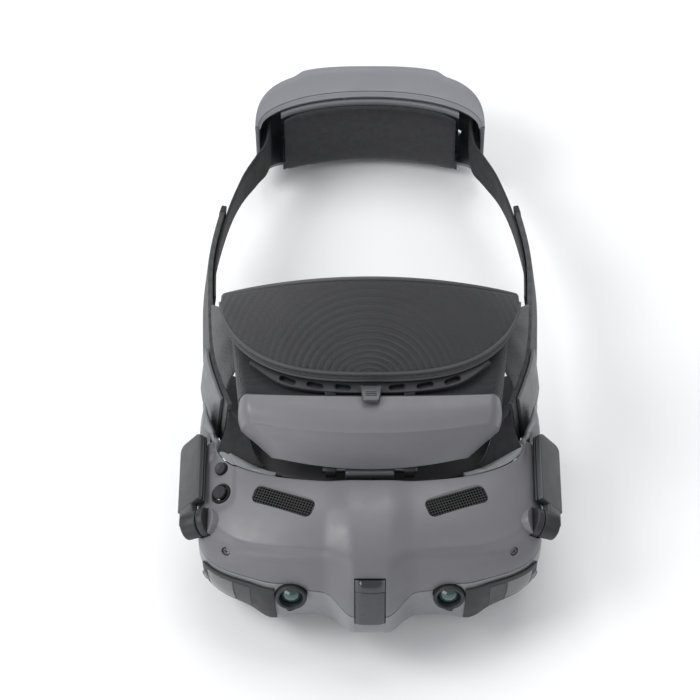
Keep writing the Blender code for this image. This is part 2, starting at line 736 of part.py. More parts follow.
# ---------------------------------------------------------------- optics of each eye
KNOB_RADIUS, KNOB_Y = 7.5 * MM, -82.0 * MM
KNOB_FLOOR, KNOB_TOP, KNOB_STEM_TOP = 0.7 * MM, 6.0 * MM, 11.0 * MM
CELL_LENGTH = 7.0 * MM
LENS_BACK = BARREL_BACK - 3.5 * MM  # leaves the focus travel inside the barrel
for label, side in SIDES:
    x = side * EYE_X
    barrel = tube(
        f"barrel_{label}",
        BARREL_RADIUS,
        BARREL_RADIUS - BARREL_WALL,
        (x, BARREL_FRONT, EYE_Z),
        (x, BARREL_BACK, EYE_Z),
        DARK_PLASTIC,
        28,
    )
    foot_top = EYE_Z - BARREL_RADIUS + 1.0 * MM
    foot = box(
        f"barrel_{label}_foot",
        (12 * MM, 14 * MM, foot_top - KNOB_STEM_TOP - GAP),
        (x, KNOB_Y, (foot_top + KNOB_STEM_TOP + GAP) / 2),
        None,
        CUTTERS,
    )
    boolean(barrel, foot, "UNION")
    box(
        f"display_{label}",
        (25 * MM, 2.5 * MM, 21 * MM),
        (x, BARREL_FRONT - GAP - 1.25 * MM, EYE_Z),
        GLOSS_BLACK,
    )
    cell_outer = BARREL_RADIUS - BARREL_WALL - GAP
    tube(
        f"lens_cell_{label}",
        cell_outer,
        cell_outer - 1.4 * MM,
        (x, LENS_BACK - CELL_LENGTH, EYE_Z),
        (x, LENS_BACK, EYE_Z),
        DARK_PLASTIC,
    )
    glass = cell_outer - 1.4 * MM - GAP
    turned(
        f"eye_lens_{label}",
        [
            (0.0, 2.6 * MM),
            (glass * 0.5, 2.1 * MM),
            (glass, 0.8 * MM),
            (glass, -0.8 * MM),
            (glass * 0.5, -2.1 * MM),
            (0.0, -2.6 * MM),
        ],
        GLASS,
        (x, LENS_BACK - CELL_LENGTH / 2, EYE_Z),
        (0, 1, 0),
        20,
    )
    turned(
        f"focus_knob_{label}",
        [
            (0.0, KNOB_STEM_TOP),
            (2.2 * MM, KNOB_STEM_TOP),
            (2.2 * MM, KNOB_TOP),
            (KNOB_RADIUS - 0.6 * MM, KNOB_TOP),
            (KNOB_RADIUS, KNOB_TOP - 0.6 * MM),
            (KNOB_RADIUS, KNOB_FLOOR + 0.6 * MM),
            (KNOB_RADIUS - 0.6 * MM, KNOB_FLOOR),
            (0.0, KNOB_FLOOR),
        ],
        RUBBER,
        (x, KNOB_Y, 0.0),
        (0, 0, 1),
        20,
    )
    slot_radius = KNOB_RADIUS + 0.5 * MM
    slot = pill(
        f"knob_slot_{label}",
        2 * (slot_radius + EYE_TRAVEL),
        2 * slot_radius,
        20 * MM,
        None,
        CUTTERS,
        8,
    )
    slot.matrix_local = Matrix.Translation((x, KNOB_Y, 0.0))
    boolean(bottom_cover, slot)

# ---------------------------------------------------------------- electronics behind the face
BOARD_Y, FAN_RADIUS = -104.5 * MM, 7.5 * MM
FAN_Z = 52.0 * MM
board = box("main_board", (92 * MM, 1.4 * MM, 34 * MM), (0.0, BOARD_Y, 36 * MM), CIRCUIT)
board_corners = box("board_nose_cut", (26 * MM, 8 * MM, 18 * MM), (0.0, BOARD_Y, 22 * MM), None, CUTTERS)
boolean(board, board_corners)
sink = box("heat_sink", (13 * MM, 9 * MM, 22 * MM), (0.0, -98.5 * MM, 44 * MM), ALUMINIUM)
for k in range(4):
    groove = box(
        f"heat_sink_groove_{k}",
        (1.6 * MM, 6 * MM, 30 * MM),
        ((k - 1.5) * 3.2 * MM, -94.8 * MM, 44 * MM),
        None,
        CUTTERS,
    )
    boolean(sink, groove)
FAN_AT = Vector((0.0, -89.0 * MM, FAN_Z))
rotor = cylinder(
    "fan_rotor", 3.0 * MM, FAN_AT - Vector((0, 2.6 * MM, 0)), FAN_AT + Vector((0, 2.6 * MM, 0)), RUBBER
)
for k in range(7):
    turn = Matrix.Rotation(2 * math.pi * k / 7, 4, "Y")
    fin = box(
        f"fan_fin_{k}",
        (0.8 * MM, 4.0 * MM, FAN_RADIUS - 2.2 * MM),
        (0.0, 0.0, 0.0),
        None,
        CUTTERS,
    )
    fin.matrix_local = (
        Matrix.Translation(FAN_AT) @ turn @ Matrix.Translation((0, 0, (FAN_RADIUS + 2.2 * MM) / 2))
    )
    boolean(rotor, fin, "UNION")

# ---------------------------------------------------------------- ears, clips and the headband
# Plan of the band's middle line, from the ear to inside the battery housing, in millimetres.
BAND_PLAN = [
    (63.5, -44.0),
    (69.0, -28.0),
    (74.0, -8.0),
    (76.5, 24.0),
    (77.0, 56.0),
    (72.5, 88.0),
    (66.0, 112.0),
    (58.5, 128.0),
    (53.8, 138.0),
    (52.8, 158.0),
]
BAND_FRONT_Z, BAND_BACK_Z = 58.0 * MM, 31.0 * MM
BAND_TILT = 0.12  # the top edge leans in to the head by this share of the height
SLEEVE_END, INNER_START, CLIP_END = 5.0, 3.2, 2.1  # places along the plan


def band_point(place, side, depth, share):
    """A point of the headband: depth outwards from its middle line, share -0.5 to 0.5 of its height."""
    xs, ys = zip(*BAND_PLAN)
    x, y = catmull(xs, place), catmull(ys, place)
    step = 0.05
    low, high = max(0.0, place - step), min(len(xs) - 1.0, place + step)
    run = Vector((catmull(xs, high) - catmull(xs, low), catmull(ys, high) - catmull(ys, low)))
    out = Vector((run.y, -run.x)).normalized()
    travel = (y - BAND_PLAN[0][1]) / (BAND_PLAN[-1][1] - BAND_PLAN[0][1])
    z = lerp(BAND_FRONT_Z, BAND_BACK_Z, travel) + share * BAND_HEIGHT * lerp(1.0, 0.86, travel)
    lean = share * BAND_HEIGHT * BAND_TILT * (1.0 - smoothstep(0.72, 0.92, travel))
    reach = depth - lean
    return Vector((side * (x * MM + out.x * reach), y * MM + out.y * reach, z))


def band_piece(name, start, end, count, inner, outer, side, look, trim=1.0):
    """A strip of the headband between two depths, with softened long edges."""
    sections = []
    corner = 0.35 * (outer - inner)
    for k in range(count):
        place = lerp(start, end, k / (count - 1))
        outline = []
        for depth, share in (
            (inner, -0.5),
            (inner, 0.5),
            (lerp(inner, outer, 0.5), 0.5 + corner / BAND_HEIGHT),
            (outer, 0.5),
            (outer, -0.5),
            (lerp(inner, outer, 0.5), -0.5 - corner / BAND_HEIGHT),
        ):
            outline.append(band_point(place, side, depth, share * trim))
        sections.append(outline)
    return loft(name, sections, look)


SLEEVE_IN, SLEEVE_OUT = -SLEEVE_THICK / 2, SLEEVE_THICK / 2
CLIP_THICK = 1.6 * MM
CLIP_OUT = SLEEVE_OUT + GAP + CLIP_THICK
INNER_OUT = SLEEVE_IN - GAP
for label, side in SIDES:
    band_piece(f"strap_{label}", 0.25, SLEEVE_END, 18, SLEEVE_IN, SLEEVE_OUT, side, FABRIC)
    band_piece(
        f"strap_tail_{label}",
        INNER_START,
        len(BAND_PLAN) - 1.0,
        20,
        INNER_OUT - BAND_THICK,
        INNER_OUT,
        side,
        DARK_PLASTIC,
        0.8,
    )
    band_piece(
        f"strap_clip_{label}",
        0.5,
        CLIP_END,
        8,
        SLEEVE_OUT + GAP,
        CLIP_OUT,
        side,
        LIGHT_GREY,
        1.02,
    )

EAR_FRONT, EAR_BACK, EAR_OUT = -47.0 * MM, -27.0 * MM, 77.8 * MM
EAR_LOW, EAR_HIGH = 22.0 * MM, 60.5 * MM


def ear(label, side):
    """A rounded end block behind each temple: its inner side keeps clear of the headband."""
    sections = []
    for share in (0.0, 0.35, 0.7, 0.9, 1.0):
        y = lerp(EAR_FRONT, EAR_BACK, share)
        inner = max(band_point(place, 1, CLIP_OUT + 0.5 * MM, -0.5).x for place in ear_places(y))
        beside_blade = max(0.0, 1.0 - share / 0.3)
        outer = max(inner + 1.6 * MM, EAR_OUT - 2.4 * MM * share**3 - 4.8 * MM * beside_blade)
        middle_z = (EAR_LOW + EAR_HIGH) / 2
        half_z = (EAR_HIGH - EAR_LOW) / 2 * (1.0 - 0.22 * share**3)
        outline = []
        for k in range(16):
            across, up = superellipse(2 * math.pi * k / 16, 3.6)
            x = (inner + outer) / 2 + across * (outer - inner) / 2
            outline.append(Vector((side * x, y, middle_z + up * half_z)))
        sections.append(outline)
    return loft(f"ear_{label}", sections, LIGHT_GREY)


def ear_places(y):
    """Places along the headband beside a given y."""
    count = 120
    places = [(len(BAND_PLAN) - 1) * k / count for k in range(count)]
    ys = [pair[1] for pair in BAND_PLAN]
    y = max(y, ys[0] * MM)  # ahead of the headband's end, the end itself counts
    return [place for place in places if abs(catmull(ys, place) * MM - y) < 2.0 * MM]


for label, side in SIDES:
    ear(label, side)

# ---------------------------------------------------------------- forehead support
PIVOT = Vector((0.0, -71.5, 70.3)) * MM
HousingRow = namedtuple("HousingRow", "y z half end_y end_z")
HOUSING_ROWS = [
    HousingRow(-74.6, 74.6, 48.0, -67.0, 78.0),  # foot of the front plane
    HousingRow(-71.4, 84.0, 51.0, -62.5, 84.0),
    HousingRow(-66.8, 92.0, 52.5, -59.0, 88.5),  # ridge between the planes
    HousingRow(-58.5, 95.0, 53.5, -53.0, 91.5),
    HousingRow(-50.5, 96.5, 54.0, -47.0, 92.5),  # rear edge of the top plane
]
HOUSING_END = 58.5  # millimetres from the middle to the rounded ends
HOUSING_FALL = 13.0  # how far down an end turns


def housing_rows(steps=8):
    rows = []
    for row in HOUSING_ROWS:
        points = []
        for k in range(-steps - 3, steps + 4):
            share = min(1.0, abs(k) / steps)
            past = max(0, abs(k) - steps) / 3
            x = row.half * share + (HOUSING_END - row.half) * math.sin(past * math.pi / 2)
            y = lerp(row.y, row.end_y, share**2) + 2.5 * past
            z = lerp(row.z, row.end_z, share**2) - HOUSING_FALL * (1 - math.cos(past * math.pi / 2))
            points.append(Vector((math.copysign(x, k) if k else 0.0, y, max(z, 75.0))) * MM)
        rows.append(points)
    return rows


forehead_housing = sheet(
    "forehead_housing", housing_rows(), 1.6 * MM, SHELL_GREY, Vector((0.0, -52.0, 78.0)) * MM
)

PAD_HALF, PAD_THICK, PAD_BULGE = 66.0 * MM, 7.0 * MM, 5.0 * MM
PAD_SQUARE = 2.6
PAD_FOOT_Y, PAD_END_Y, PAD_TOP_Y = -42.6 * MM, -5.0 * MM, -17.0 * MM
PAD_FOOT_Z, PAD_END_Z, PAD_TOP_Z = 97.0 * MM, 106.0 * MM, 138.0 * MM
PAD_END_TALL = 4.0 * MM


def pad_edges(angle):
    """The pad's lower and upper edge at an angle round the forehead."""
    across, ahead = superellipse(angle, PAD_SQUARE)
    x = PAD_HALF * across
    low = Vector(
        (x, lerp(PAD_END_Y, PAD_FOOT_Y, ahead), lerp(PAD_FOOT_Z, PAD_END_Z, across**4))
    )
    high = Vector(
        (
            x,
            lerp(PAD_TOP_Y, PAD_END_Y, across**2),
            lerp(PAD_TOP_Z, PAD_END_Z + PAD_END_TALL, across**2),
        )
    )
    return low, high


def pad_out(angle):
    """The way the pad's outer side looks."""
    return Vector((math.sin(angle) * 0.9, -math.cos(angle), 0.45)).normalized()


def pad_point(angle, height, depth):
    """The pad's outer side, height 0 to 1, moved in towards the head by depth."""
    low, high = pad_edges(angle)
    tall = (high - low).length / (PAD_TOP_Z - PAD_FOOT_Z)
    bulge = PAD_BULGE * min(1.0, tall) * math.sin(height * math.pi)
    return low.lerp(high, height) + pad_out(angle) * (bulge - depth)


def pad_section(angle):
    outer = [pad_point(angle, h, 0.0) for h in PAD_HEIGHTS]
    inner = [pad_point(angle, h, PAD_THICK) for h in reversed(PAD_HEIGHTS)]
    return outer + inner


PAD_ANGLES = fan_of_angles(10, 1.0)
PAD_HEIGHTS = [0.0, 0.25, 0.5, 0.75, 1.0]
forehead_pad = loft("forehead_pad", [pad_section(angle) for angle in PAD_ANGLES], FABRIC)

FRAME_DROP, FRAME_THICK = 3.6 * MM, 2.6 * MM  # below the pad's foot
FRAME_TUCK = 0.8 * MM
FRAME_SWEEP = math.radians(47.0)


def frame_section(angle):
    """The slotted frame between the housing's rear edge and the pad's foot."""
    foot = pad_point(angle, 0.0, 0.0)
    level = Vector((math.sin(angle), -math.cos(angle), 0.0))
    reach = lerp(5.6 * MM, 2.0 * MM, smoothstep(0.6, 1.0, abs(angle) / FRAME_SWEEP))
    outline = []
    for ahead, up in ((reach, 0), (reach, FRAME_THICK), (-FRAME_TUCK, FRAME_THICK), (-FRAME_TUCK, 0)):
        outline.append(foot + level * ahead + Vector((0.0, 0.0, up - FRAME_DROP)))
    return outline


frame_angles = [FRAME_SWEEP * k / 10 for k in range(-10, 11)]
forehead_frame = loft("forehead_frame", [frame_section(a) for a in frame_angles], DARK_PLASTIC)
SLOT_COUNT = 7
for k in range(SLOT_COUNT):
    angle = (k - (SLOT_COUNT - 1) / 2) * math.radians(10.0)
    at = pad_point(angle, 0.0, 0.0)
    level = Vector((math.sin(angle), -math.cos(angle), 0.0))
    place = at + level * 2.8 * MM + Vector((0.0, 0.0, -FRAME_DROP + FRAME_THICK / 2))
    size = (7.4 * MM, 2.6 * MM, 16 * MM)
    slot = box(
        f"frame_slot_{k}", size, place, None, CUTTERS, Matrix.Rotation(angle * 0.75, 4, "Z")
    )
    boolean(forehead_frame, slot)

ARM_X, ARM_WIDTH, PIN_RADIUS, BLOCK_HALF = 17.5 * MM, 5.0 * MM, 1.8 * MM, 11.0 * MM
ARM_SIDE = [  # y from the pivot and z from the pivot
    (-3.2, -2.6),
    (3.2, -2.6),
    (29.5, 23.3),
    (29.5, 25.2),
    (23.8, 25.2),
    (20.5, 22.2),
    (5.6, 12.5),
    (0.6, 4.2),
    (-3.2, 3.0),
]
for label, side in SIDES:
    sections = []
    for x in (side * (ARM_X - ARM_WIDTH / 2), side * (ARM_X + ARM_WIDTH / 2)):
        sections.append([Vector((x, PIVOT.y + y * MM, PIVOT.z + z * MM)) for y, z in ARM_SIDE])
    arm = loft(f"forehead_arm_{label}", sections, None, CUTTERS)
    boolean(forehead_frame, arm, "UNION")
hinge_bore = cylinder(
    "forehead_hinge_bore",
    PIN_RADIUS + GAP,
    PIVOT - Vector((30 * MM, 0, 0)),
    PIVOT + Vector((30 * MM, 0, 0)),
    None,
    CUTTERS,
    20,
)
boolean(forehead_frame, hinge_bore)
cylinder(
    "forehead_pin",
    PIN_RADIUS,
    PIVOT - Vector((ARM_X + ARM_WIDTH / 2 + MM, 0, 0)),
    PIVOT + Vector((ARM_X + ARM_WIDTH / 2 + MM, 0, 0)),
    STEEL,
    segments=20,
)
hinge_block = box(
    "forehead_hinge_block",
    (2 * BLOCK_HALF, 8.6 * MM, 6.6 * MM),
    (0.0, PIVOT.y - 0.6 * MM, PIVOT.z - 0.2 * MM),
    DARK_PLASTIC,
)
boolean(hinge_block, hinge_bore)
bevel(hinge_block, 0.8 * MM)

TAB_AT = Vector((0.5, -50.8, 98.6)) * MM
tab = box("release_tab", (10.0 * MM, 8.5 * MM, 2.0 * MM), TAB_AT, DARK_PLASTIC)
bevel(tab, 0.5 * MM)

# Fabric gussets from the headband's top edge up to the ends of the forehead pad.
GUSSET_THICK = 1.8 * MM
for label, side in SIDES:
    rows = []
    for k in range(7):
        share = k / 6
        low = band_point(lerp(0.7, 2.9, share), side, -0.4 * MM, 0.5) + Vector((0, 0, 2.0 * MM))
        angle = side * math.radians(lerp(51.0, 86.0, share))
        high = pad_point(angle, 0.0, 3.0 * MM) + Vector((0, 0, -1.6 * MM))
        middle = (low + high) / 2 + Vector((side * 1.5 * MM, -0.8 * MM, 0.8 * MM))
        rows.append([low, (low + middle) / 2, middle, (middle + high) / 2, high])
    sheet(f"gusset_{label}", rows, GUSSET_THICK, FABRIC, Vector((0.0, 0.0, 60.0)) * MM)

# ---------------------------------------------------------------- battery housing on the headband
PodRow = namedtuple("PodRow", "z back half end square plateau")
POD_ROWS = [
    PodRow(50.8, 161.5, 54.0, 141.0, 2.0, 0.0),  # inner edge of the top face
    PodRow(52.0, 166.0, 56.0, 141.0, 2.2, 0.2),
    PodRow(51.6, 176.5, 57.0, 141.0, 2.7, 0.7),
    PodRow(46.5, 181.5, 57.0, 141.0, 3.0, 1.0),
    PodRow(26.0, 182.0, 57.0, 141.0, 3.0, 1.0),
    PodRow(5.5, 181.5, 57.0, 141.0, 3.0, 1.0),
    PodRow(0.0, 176.5, 57.0, 141.0, 2.7, 0.7),
    PodRow(0.0, 166.0, 56.0, 141.0, 2.2, 0.2),
    PodRow(1.2, 161.5, 54.0, 141.0, 2.0, 0.0),  # inner edge of the bottom face
]
POD_INSIDE = Vector((0.0, 160.0, 26.0)) * MM
POD_PLACES = [0.0, 1.0, 1.6, 2.3, 3.0, 4.0, 5.0, 5.7, 6.4, 7.0, 8.0]


def pod_point(place, angle):
    row = PodRow(*[catmull(column, place) for column in zip(*POD_ROWS)])
    across, behind = superellipse(angle, row.square)
    x = row.half * across * MM
    y = (row.end + (row.back - row.end) * behind) * MM
    plateau = 1.0 - smoothstep(PLATEAU_FLAT, PLATEAU_FOOT, abs(x))
    return Vector((x, y + plateau * row.plateau * PLATEAU_RISE, max(row.z * MM, POD_FLOOR)))


pod_angles = fan_of_angles(10, 0.9)
pod_rows = [[pod_point(place, angle) for angle in pod_angles] for place in POD_PLACES]
pod_shell = sheet("pod_back_shell", pod_rows, SHELL_WALL, SHELL_GREY, POD_INSIDE)

LINER_HALF, LINER_DEPTH = 43.0 * MM, 5.0 * MM


def pod_front_y(x, lead):
    """The housing's face towards the head, moved towards the head by lead."""
    across = min(1.0, abs(x) / (54.0 * MM))
    return (141.0 + 20.5 * math.sqrt(1.0 - across**2)) * MM - lead


def pod_panel(name, half, low, high, lead, thick, look, inset=0.0, columns=16):
    sections = []
    for k in range(columns + 1):
        x = lerp(-half, half, k / columns)
        edge = inset * abs(k - columns / 2) / (columns / 2)
        front, back = pod_front_y(x, lead), pod_front_y(x, lead - thick)
        sections.append(
            [
                Vector((x, front, low + edge)),
                Vector((x, back, low)),
                Vector((x, back, high)),
                Vector((x, front, high - edge)),
            ]
        )
    return loft(name, sections, look)


pod_panel("pod_front_shell", 44.5 * MM, 3.4 * MM, 48.6 * MM, 0.0, 1.8 * MM, DARK_PLASTIC)
liner = pod_panel(
    "pod_liner", LINER_HALF, 6.0 * MM, 46.0 * MM, LINER_DEPTH + GAP, LINER_DEPTH, PAD, 1.5 * MM
)
bevel(liner, 1.2 * MM)

CELL_SIZE, CELL_TURN = Vector((28.0, 11.0, 36.0)) * MM, math.radians(16.0)
for label, side in SIDES:
    at = (side * 29.5 * MM, 168.4 * MM, 26 * MM)
    turn = Matrix.Rotation(-side * CELL_TURN, 4, "Z")
    bevel(box(f"battery_cell_{label}", CELL_SIZE, at, ALUMINIUM, turn=turn), 1.0 * MM)

DIAL_FACE = POD_BACK + PLATEAU_RISE + DIAL_STANDS_OUT
DIAL_FRONT = DIAL_FACE - 5.5 * MM
dial_hole = cylinder(
    "dial_hole",
    DIAL_RADIUS + GAP,
    (0.0, DIAL_FACE - 12 * MM, DIAL_Z),
    (0.0, DIAL_FACE + 5 * MM, DIAL_Z),
    None,
    CUTTERS,
)
boolean(pod_shell, dial_hole)
dial = bevel(
    cylinder("dial", DIAL_RADIUS, (0.0, DIAL_FRONT, DIAL_Z), (0.0, DIAL_FACE, DIAL_Z), RUBBER, segments=28),
    0.7 * MM,
)
PINION_TEETH, PINION_RADIUS, TOOTH = 10, 5.0 * MM, 0.9 * MM
pinion_sections = []
for y in (DIAL_FRONT - 7.0 * MM, DIAL_FRONT + 1.0 * MM):
    outline = []
    for k in range(PINION_TEETH * 4):
        radius = PINION_RADIUS + (TOOTH if k % 4 < 2 else -TOOTH)
        angle = 2 * math.pi * k / (PINION_TEETH * 4)
        outline.append(Vector((math.cos(angle) * radius, y, DIAL_Z + math.sin(angle) * radius)))
    pinion_sections.append(outline)
pinion = loft("dial_pinion_shape", pinion_sections, None, CUTTERS)
boolean(dial, pinion, "UNION")

POWER_RADIUS, POWER_Z = 2.8 * MM, 42.5 * MM
power_back = pod_point(3.3, 0.0).y
power_hole = cylinder(
    "power_hole",
    POWER_RADIUS + GAP,
    (0.0, power_back - 8 * MM, POWER_Z),
    (0.0, power_back + 4 * MM, POWER_Z),
    None,
    CUTTERS,
    20,
)
boolean(pod_shell, power_hole)
bevel(
    cylinder(
        "power_button",
        POWER_RADIUS,
        (0.0, power_back - 3.5 * MM, POWER_Z),
        (0.0, power_back + 0.8 * MM, POWER_Z),
        DARK_PLASTIC,
        segments=20,
    ),
    0.4 * MM,
)


# ---------------------------------------------------------------- origin under the middle
def centre_assembly():
    """Moves everything so that the origin is on the floor, under the middle of the outer box."""
    bpy.context.view_layer.update()
    graph = bpy.context.evaluated_depsgraph_get()
    corners = []
    for piece in PARTS.objects:
        if piece.type == "MESH":
            evaluated = piece.evaluated_get(graph)
            corners += [evaluated.matrix_world @ vert.co for vert in evaluated.data.vertices]
    for axis in (0, 1):
        values = [corner[axis] for corner in corners]
        ASSEMBLY.location[axis] = -(min(values) + max(values)) / 2
    ASSEMBLY.location[2] = -min(corner[2] for corner in corners)


centre_assembly()
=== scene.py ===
"""The visual model of the goggles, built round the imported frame: shells, fabric, optics and materials."""

from math import copysign, cos, exp, pi, radians, sin, sqrt

import bmesh
import bpy
from mathutils import Matrix, Vector


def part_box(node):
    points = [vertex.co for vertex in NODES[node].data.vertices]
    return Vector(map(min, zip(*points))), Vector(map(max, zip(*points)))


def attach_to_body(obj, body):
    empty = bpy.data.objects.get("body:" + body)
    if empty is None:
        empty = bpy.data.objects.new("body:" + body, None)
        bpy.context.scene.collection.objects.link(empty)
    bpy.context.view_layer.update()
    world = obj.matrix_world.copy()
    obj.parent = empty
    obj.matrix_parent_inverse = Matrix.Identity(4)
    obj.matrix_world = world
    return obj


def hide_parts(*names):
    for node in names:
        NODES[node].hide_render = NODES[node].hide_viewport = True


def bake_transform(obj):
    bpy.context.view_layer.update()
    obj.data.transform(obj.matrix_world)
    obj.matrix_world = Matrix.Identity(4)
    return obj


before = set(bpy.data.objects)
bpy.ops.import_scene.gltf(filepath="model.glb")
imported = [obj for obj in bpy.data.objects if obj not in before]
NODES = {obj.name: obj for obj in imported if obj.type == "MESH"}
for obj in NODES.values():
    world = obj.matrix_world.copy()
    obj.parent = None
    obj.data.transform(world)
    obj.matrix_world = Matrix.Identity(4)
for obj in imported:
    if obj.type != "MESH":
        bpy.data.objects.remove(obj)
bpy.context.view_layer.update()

MM = 0.001
HALF_PI = pi / 2
# The surfaces below are written about the middle of the wearer's head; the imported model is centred.
DIAL_FACE = 186.8 * MM
SHIFT = Vector((0.0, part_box("dial")[1].y - DIAL_FACE, 0.0))
SIDES = (("right", 1), ("left", -1))
# A turned profile starts this far from its axis.
AXIS = 0.0005 * MM


# ================================================================ materials
def new_material(name):
    made = bpy.data.materials.new(name)
    made.use_nodes = True
    tree = made.node_tree
    return made, tree, tree.nodes["Principled BSDF"]


def values(node, **given):
    """Sets inputs by name, written with _ for a space."""
    for name, value in given.items():
        node.inputs[name.replace("_", " ")].default_value = value


class Nodes:
    """Short ways to add nodes and join them."""

    def __init__(self, tree):
        self.tree = tree
        coords = tree.nodes.new("ShaderNodeTexCoord")
        self.place = coords.outputs["Object"]

    def link(self, source, socket):
        if hasattr(source, "is_output"):
            self.tree.links.new(source, socket)
        else:
            socket.default_value = source

    def math(self, operation, a, b=0.0):
        node = self.tree.nodes.new("ShaderNodeMath")
        node.operation = operation
        self.link(a, node.inputs[0])
        self.link(b, node.inputs[1])
        return node.outputs[0]

    def noise(self, scale, detail=3.0, rough=0.55):
        node = self.tree.nodes.new("ShaderNodeTexNoise")
        self.link(self.place, node.inputs["Vector"])
        values(node, Scale=scale, Detail=detail, Roughness=rough)
        return node.outputs["Fac"]

    def cells(self, scale):
        node = self.tree.nodes.new("ShaderNodeTexVoronoi")
        self.link(self.place, node.inputs["Vector"])
        values(node, Scale=scale)
        return node.outputs["Distance"]

    def spread(self, value, low, high, start=0.0, end=1.0):
        node = self.tree.nodes.new("ShaderNodeMapRange")
        self.link(value, node.inputs["Value"])
        values(node, From_Min=start, From_Max=end, To_Min=low, To_Max=high)
        return node.outputs["Result"]

    def tint(self, value, dark, light):
        node = self.tree.nodes.new("ShaderNodeMix")
        node.data_type = "RGBA"
        self.link(value, node.inputs["Factor"])
        values(node, A=(*dark, 1.0), B=(*light, 1.0))
        return node.outputs["Result"]

    def bump(self, value, depth, shader, strength=1.0):
        node = self.tree.nodes.new("ShaderNodeBump")
        values(node, Strength=strength, Distance=depth)
        self.link(value, node.inputs["Height"])
        self.link(node.outputs["Normal"], shader.inputs["Normal"])

    def axes(self):
        node = self.tree.nodes.new("ShaderNodeSeparateXYZ")
        self.link(self.place, node.inputs[0])
        return node.outputs


def scaled(colour, by):
    return tuple(channel * by for channel in colour)


def plastic(name, colour, rough=0.42, grain=0.5, depth=0.02, vary=0.07, coat=0.0, metal=0.0):
    """Moulded plastic or metal: a fine spark-eroded grain, and slow changes of shade and polish."""
    made, tree, shader = new_material(name)
    nodes = Nodes(tree)
    values(shader, Metallic=metal, Coat_Weight=coat, Coat_Roughness=0.06)
    slow = nodes.noise(38.0, 4.0)
    nodes.link(
        nodes.tint(slow, scaled(colour, 1 - vary), scaled(colour, 1 + vary)), shader.inputs["Base Color"]
    )
    nodes.link(
        nodes.spread(nodes.noise(160.0, 5.0), rough - 0.06, rough + 0.06, 0.3, 0.7),
        shader.inputs["Roughness"],
    )
    grained = nodes.math(
        "ADD", nodes.noise(1000.0 / grain, 2.0), nodes.math("MULTIPLY", nodes.cells(700.0 / grain), 0.6)
    )
    nodes.bump(grained, depth * MM, shader)
    return made


def polished(name, colour, rough=0.06, coat=1.0):
    """Polished dark plastic or coated glass with faint waviness and dust-fine variation."""
    made, tree, shader = new_material(name)
    nodes = Nodes(tree)
    nodes.link(
        nodes.tint(nodes.noise(90.0), scaled(colour, 0.8), scaled(colour, 1.25)),
        shader.inputs["Base Color"],
    )
    nodes.link(
        nodes.spread(nodes.noise(420.0, 6.0), rough, rough + 0.07, 0.4, 0.8), shader.inputs["Roughness"]
    )
    values(shader, Coat_Weight=coat, Coat_Roughness=0.03)
    nodes.bump(nodes.noise(120.0, 1.0), 0.01 * MM, shader, 0.4)
    return made


def knitted(name, dark, light, course=0.9, wale=1.1, depth=0.16):
    """A fine knit: V-shaped stitches in columns, with loose fibres over them."""
    made, tree, shader = new_material(name)
    nodes = Nodes(tree)
    x, y, z = nodes.axes()
    column = nodes.math("FRACT", nodes.math("MULTIPLY", z, 1 / (wale * MM)))
    slant = nodes.math("ABSOLUTE", nodes.math("SUBTRACT", column, 0.5))
    along = nodes.math(
        "ADD",
        nodes.math("MULTIPLY", nodes.math("ADD", y, x), 1 / (course * MM)),
        nodes.math("MULTIPLY", slant, 1.6),
    )
    stitch = nodes.math("SINE", nodes.math("MULTIPLY", along, 2 * pi))
    gap = nodes.math("SINE", nodes.math("MULTIPLY", column, pi))
    yarn = nodes.math("ADD", nodes.math("MULTIPLY", stitch, 0.5), gap)
    fuzz = nodes.math("MULTIPLY", nodes.noise(2600.0, 3.0, 0.7), 0.9)
    height = nodes.math("ADD", yarn, fuzz)
    worn = nodes.math("MULTIPLY", nodes.noise(45.0, 4.0), 0.5)
    # Raised yarn is painted lighter and the gaps between stitches darker: painted shade in the gaps, with
    # worn adding a slow random change of tone.
    shade = nodes.math("ADD", nodes.spread(height, 0.0, 0.75, -0.2, 2.0), worn)
    nodes.link(nodes.tint(shade, dark, light), shader.inputs["Base Color"])
    values(shader, Roughness=0.85, Sheen_Weight=0.25, Sheen_Roughness=0.5)
    nodes.bump(height, depth * MM, shader)
    return made


def brushed_cloth(name, dark, light, depth=0.12):
    """A soft brushed cover over foam."""
    made, tree, shader = new_material(name)
    nodes = Nodes(tree)
    fibre = nodes.math(
        "ADD", nodes.noise(1900.0, 4.0, 0.75), nodes.math("MULTIPLY", nodes.noise(300.0, 4.0), 0.8)
    )
    nodes.link(
        nodes.tint(nodes.spread(fibre, 0.0, 1.0, 0.5, 1.3), dark, light), shader.inputs["Base Color"]
    )
    values(shader, Roughness=0.95, Sheen_Weight=0.4, Sheen_Roughness=0.4)
    nodes.bump(fibre, depth * MM, shader)
    return made


BODY_GREY = plastic("satin grey", (0.138, 0.137, 0.147), 0.40, 0.45, 0.018)
LIGHT_GREY = plastic("light satin grey", (0.205, 0.206, 0.218), 0.38, 0.45, 0.018)
POD_GREY = plastic("pod satin grey", (0.150, 0.155, 0.170), 0.42, 0.45, 0.018)
BLADE_GREY = plastic("antenna grey", (0.043, 0.047, 0.050), 0.46, 0.5, 0.02)
BAR_GREY = plastic("bar grey", (0.048, 0.051, 0.056), 0.30, 0.5, 0.01)
DARK = plastic("textured black", (0.014, 0.014, 0.016), 0.50, 0.6, 0.03, 0.15)
NAVY = plastic("inner dark", (0.035, 0.038, 0.05), 0.28, 0.6, 0.02, 0.15)
GRILLE = plastic("grille black", (0.006, 0.006, 0.007), 0.6, 0.6, 0.01, 0.15)
RUBBER = plastic("soft rubber", (0.013, 0.013, 0.014), 0.75, 0.35, 0.03, 0.2)
GLOSS = polished("gloss black", (0.010, 0.010, 0.012), 0.05)
SMOKED = polished("smoked window", (0.014, 0.015, 0.017), 0.38, 0.1)
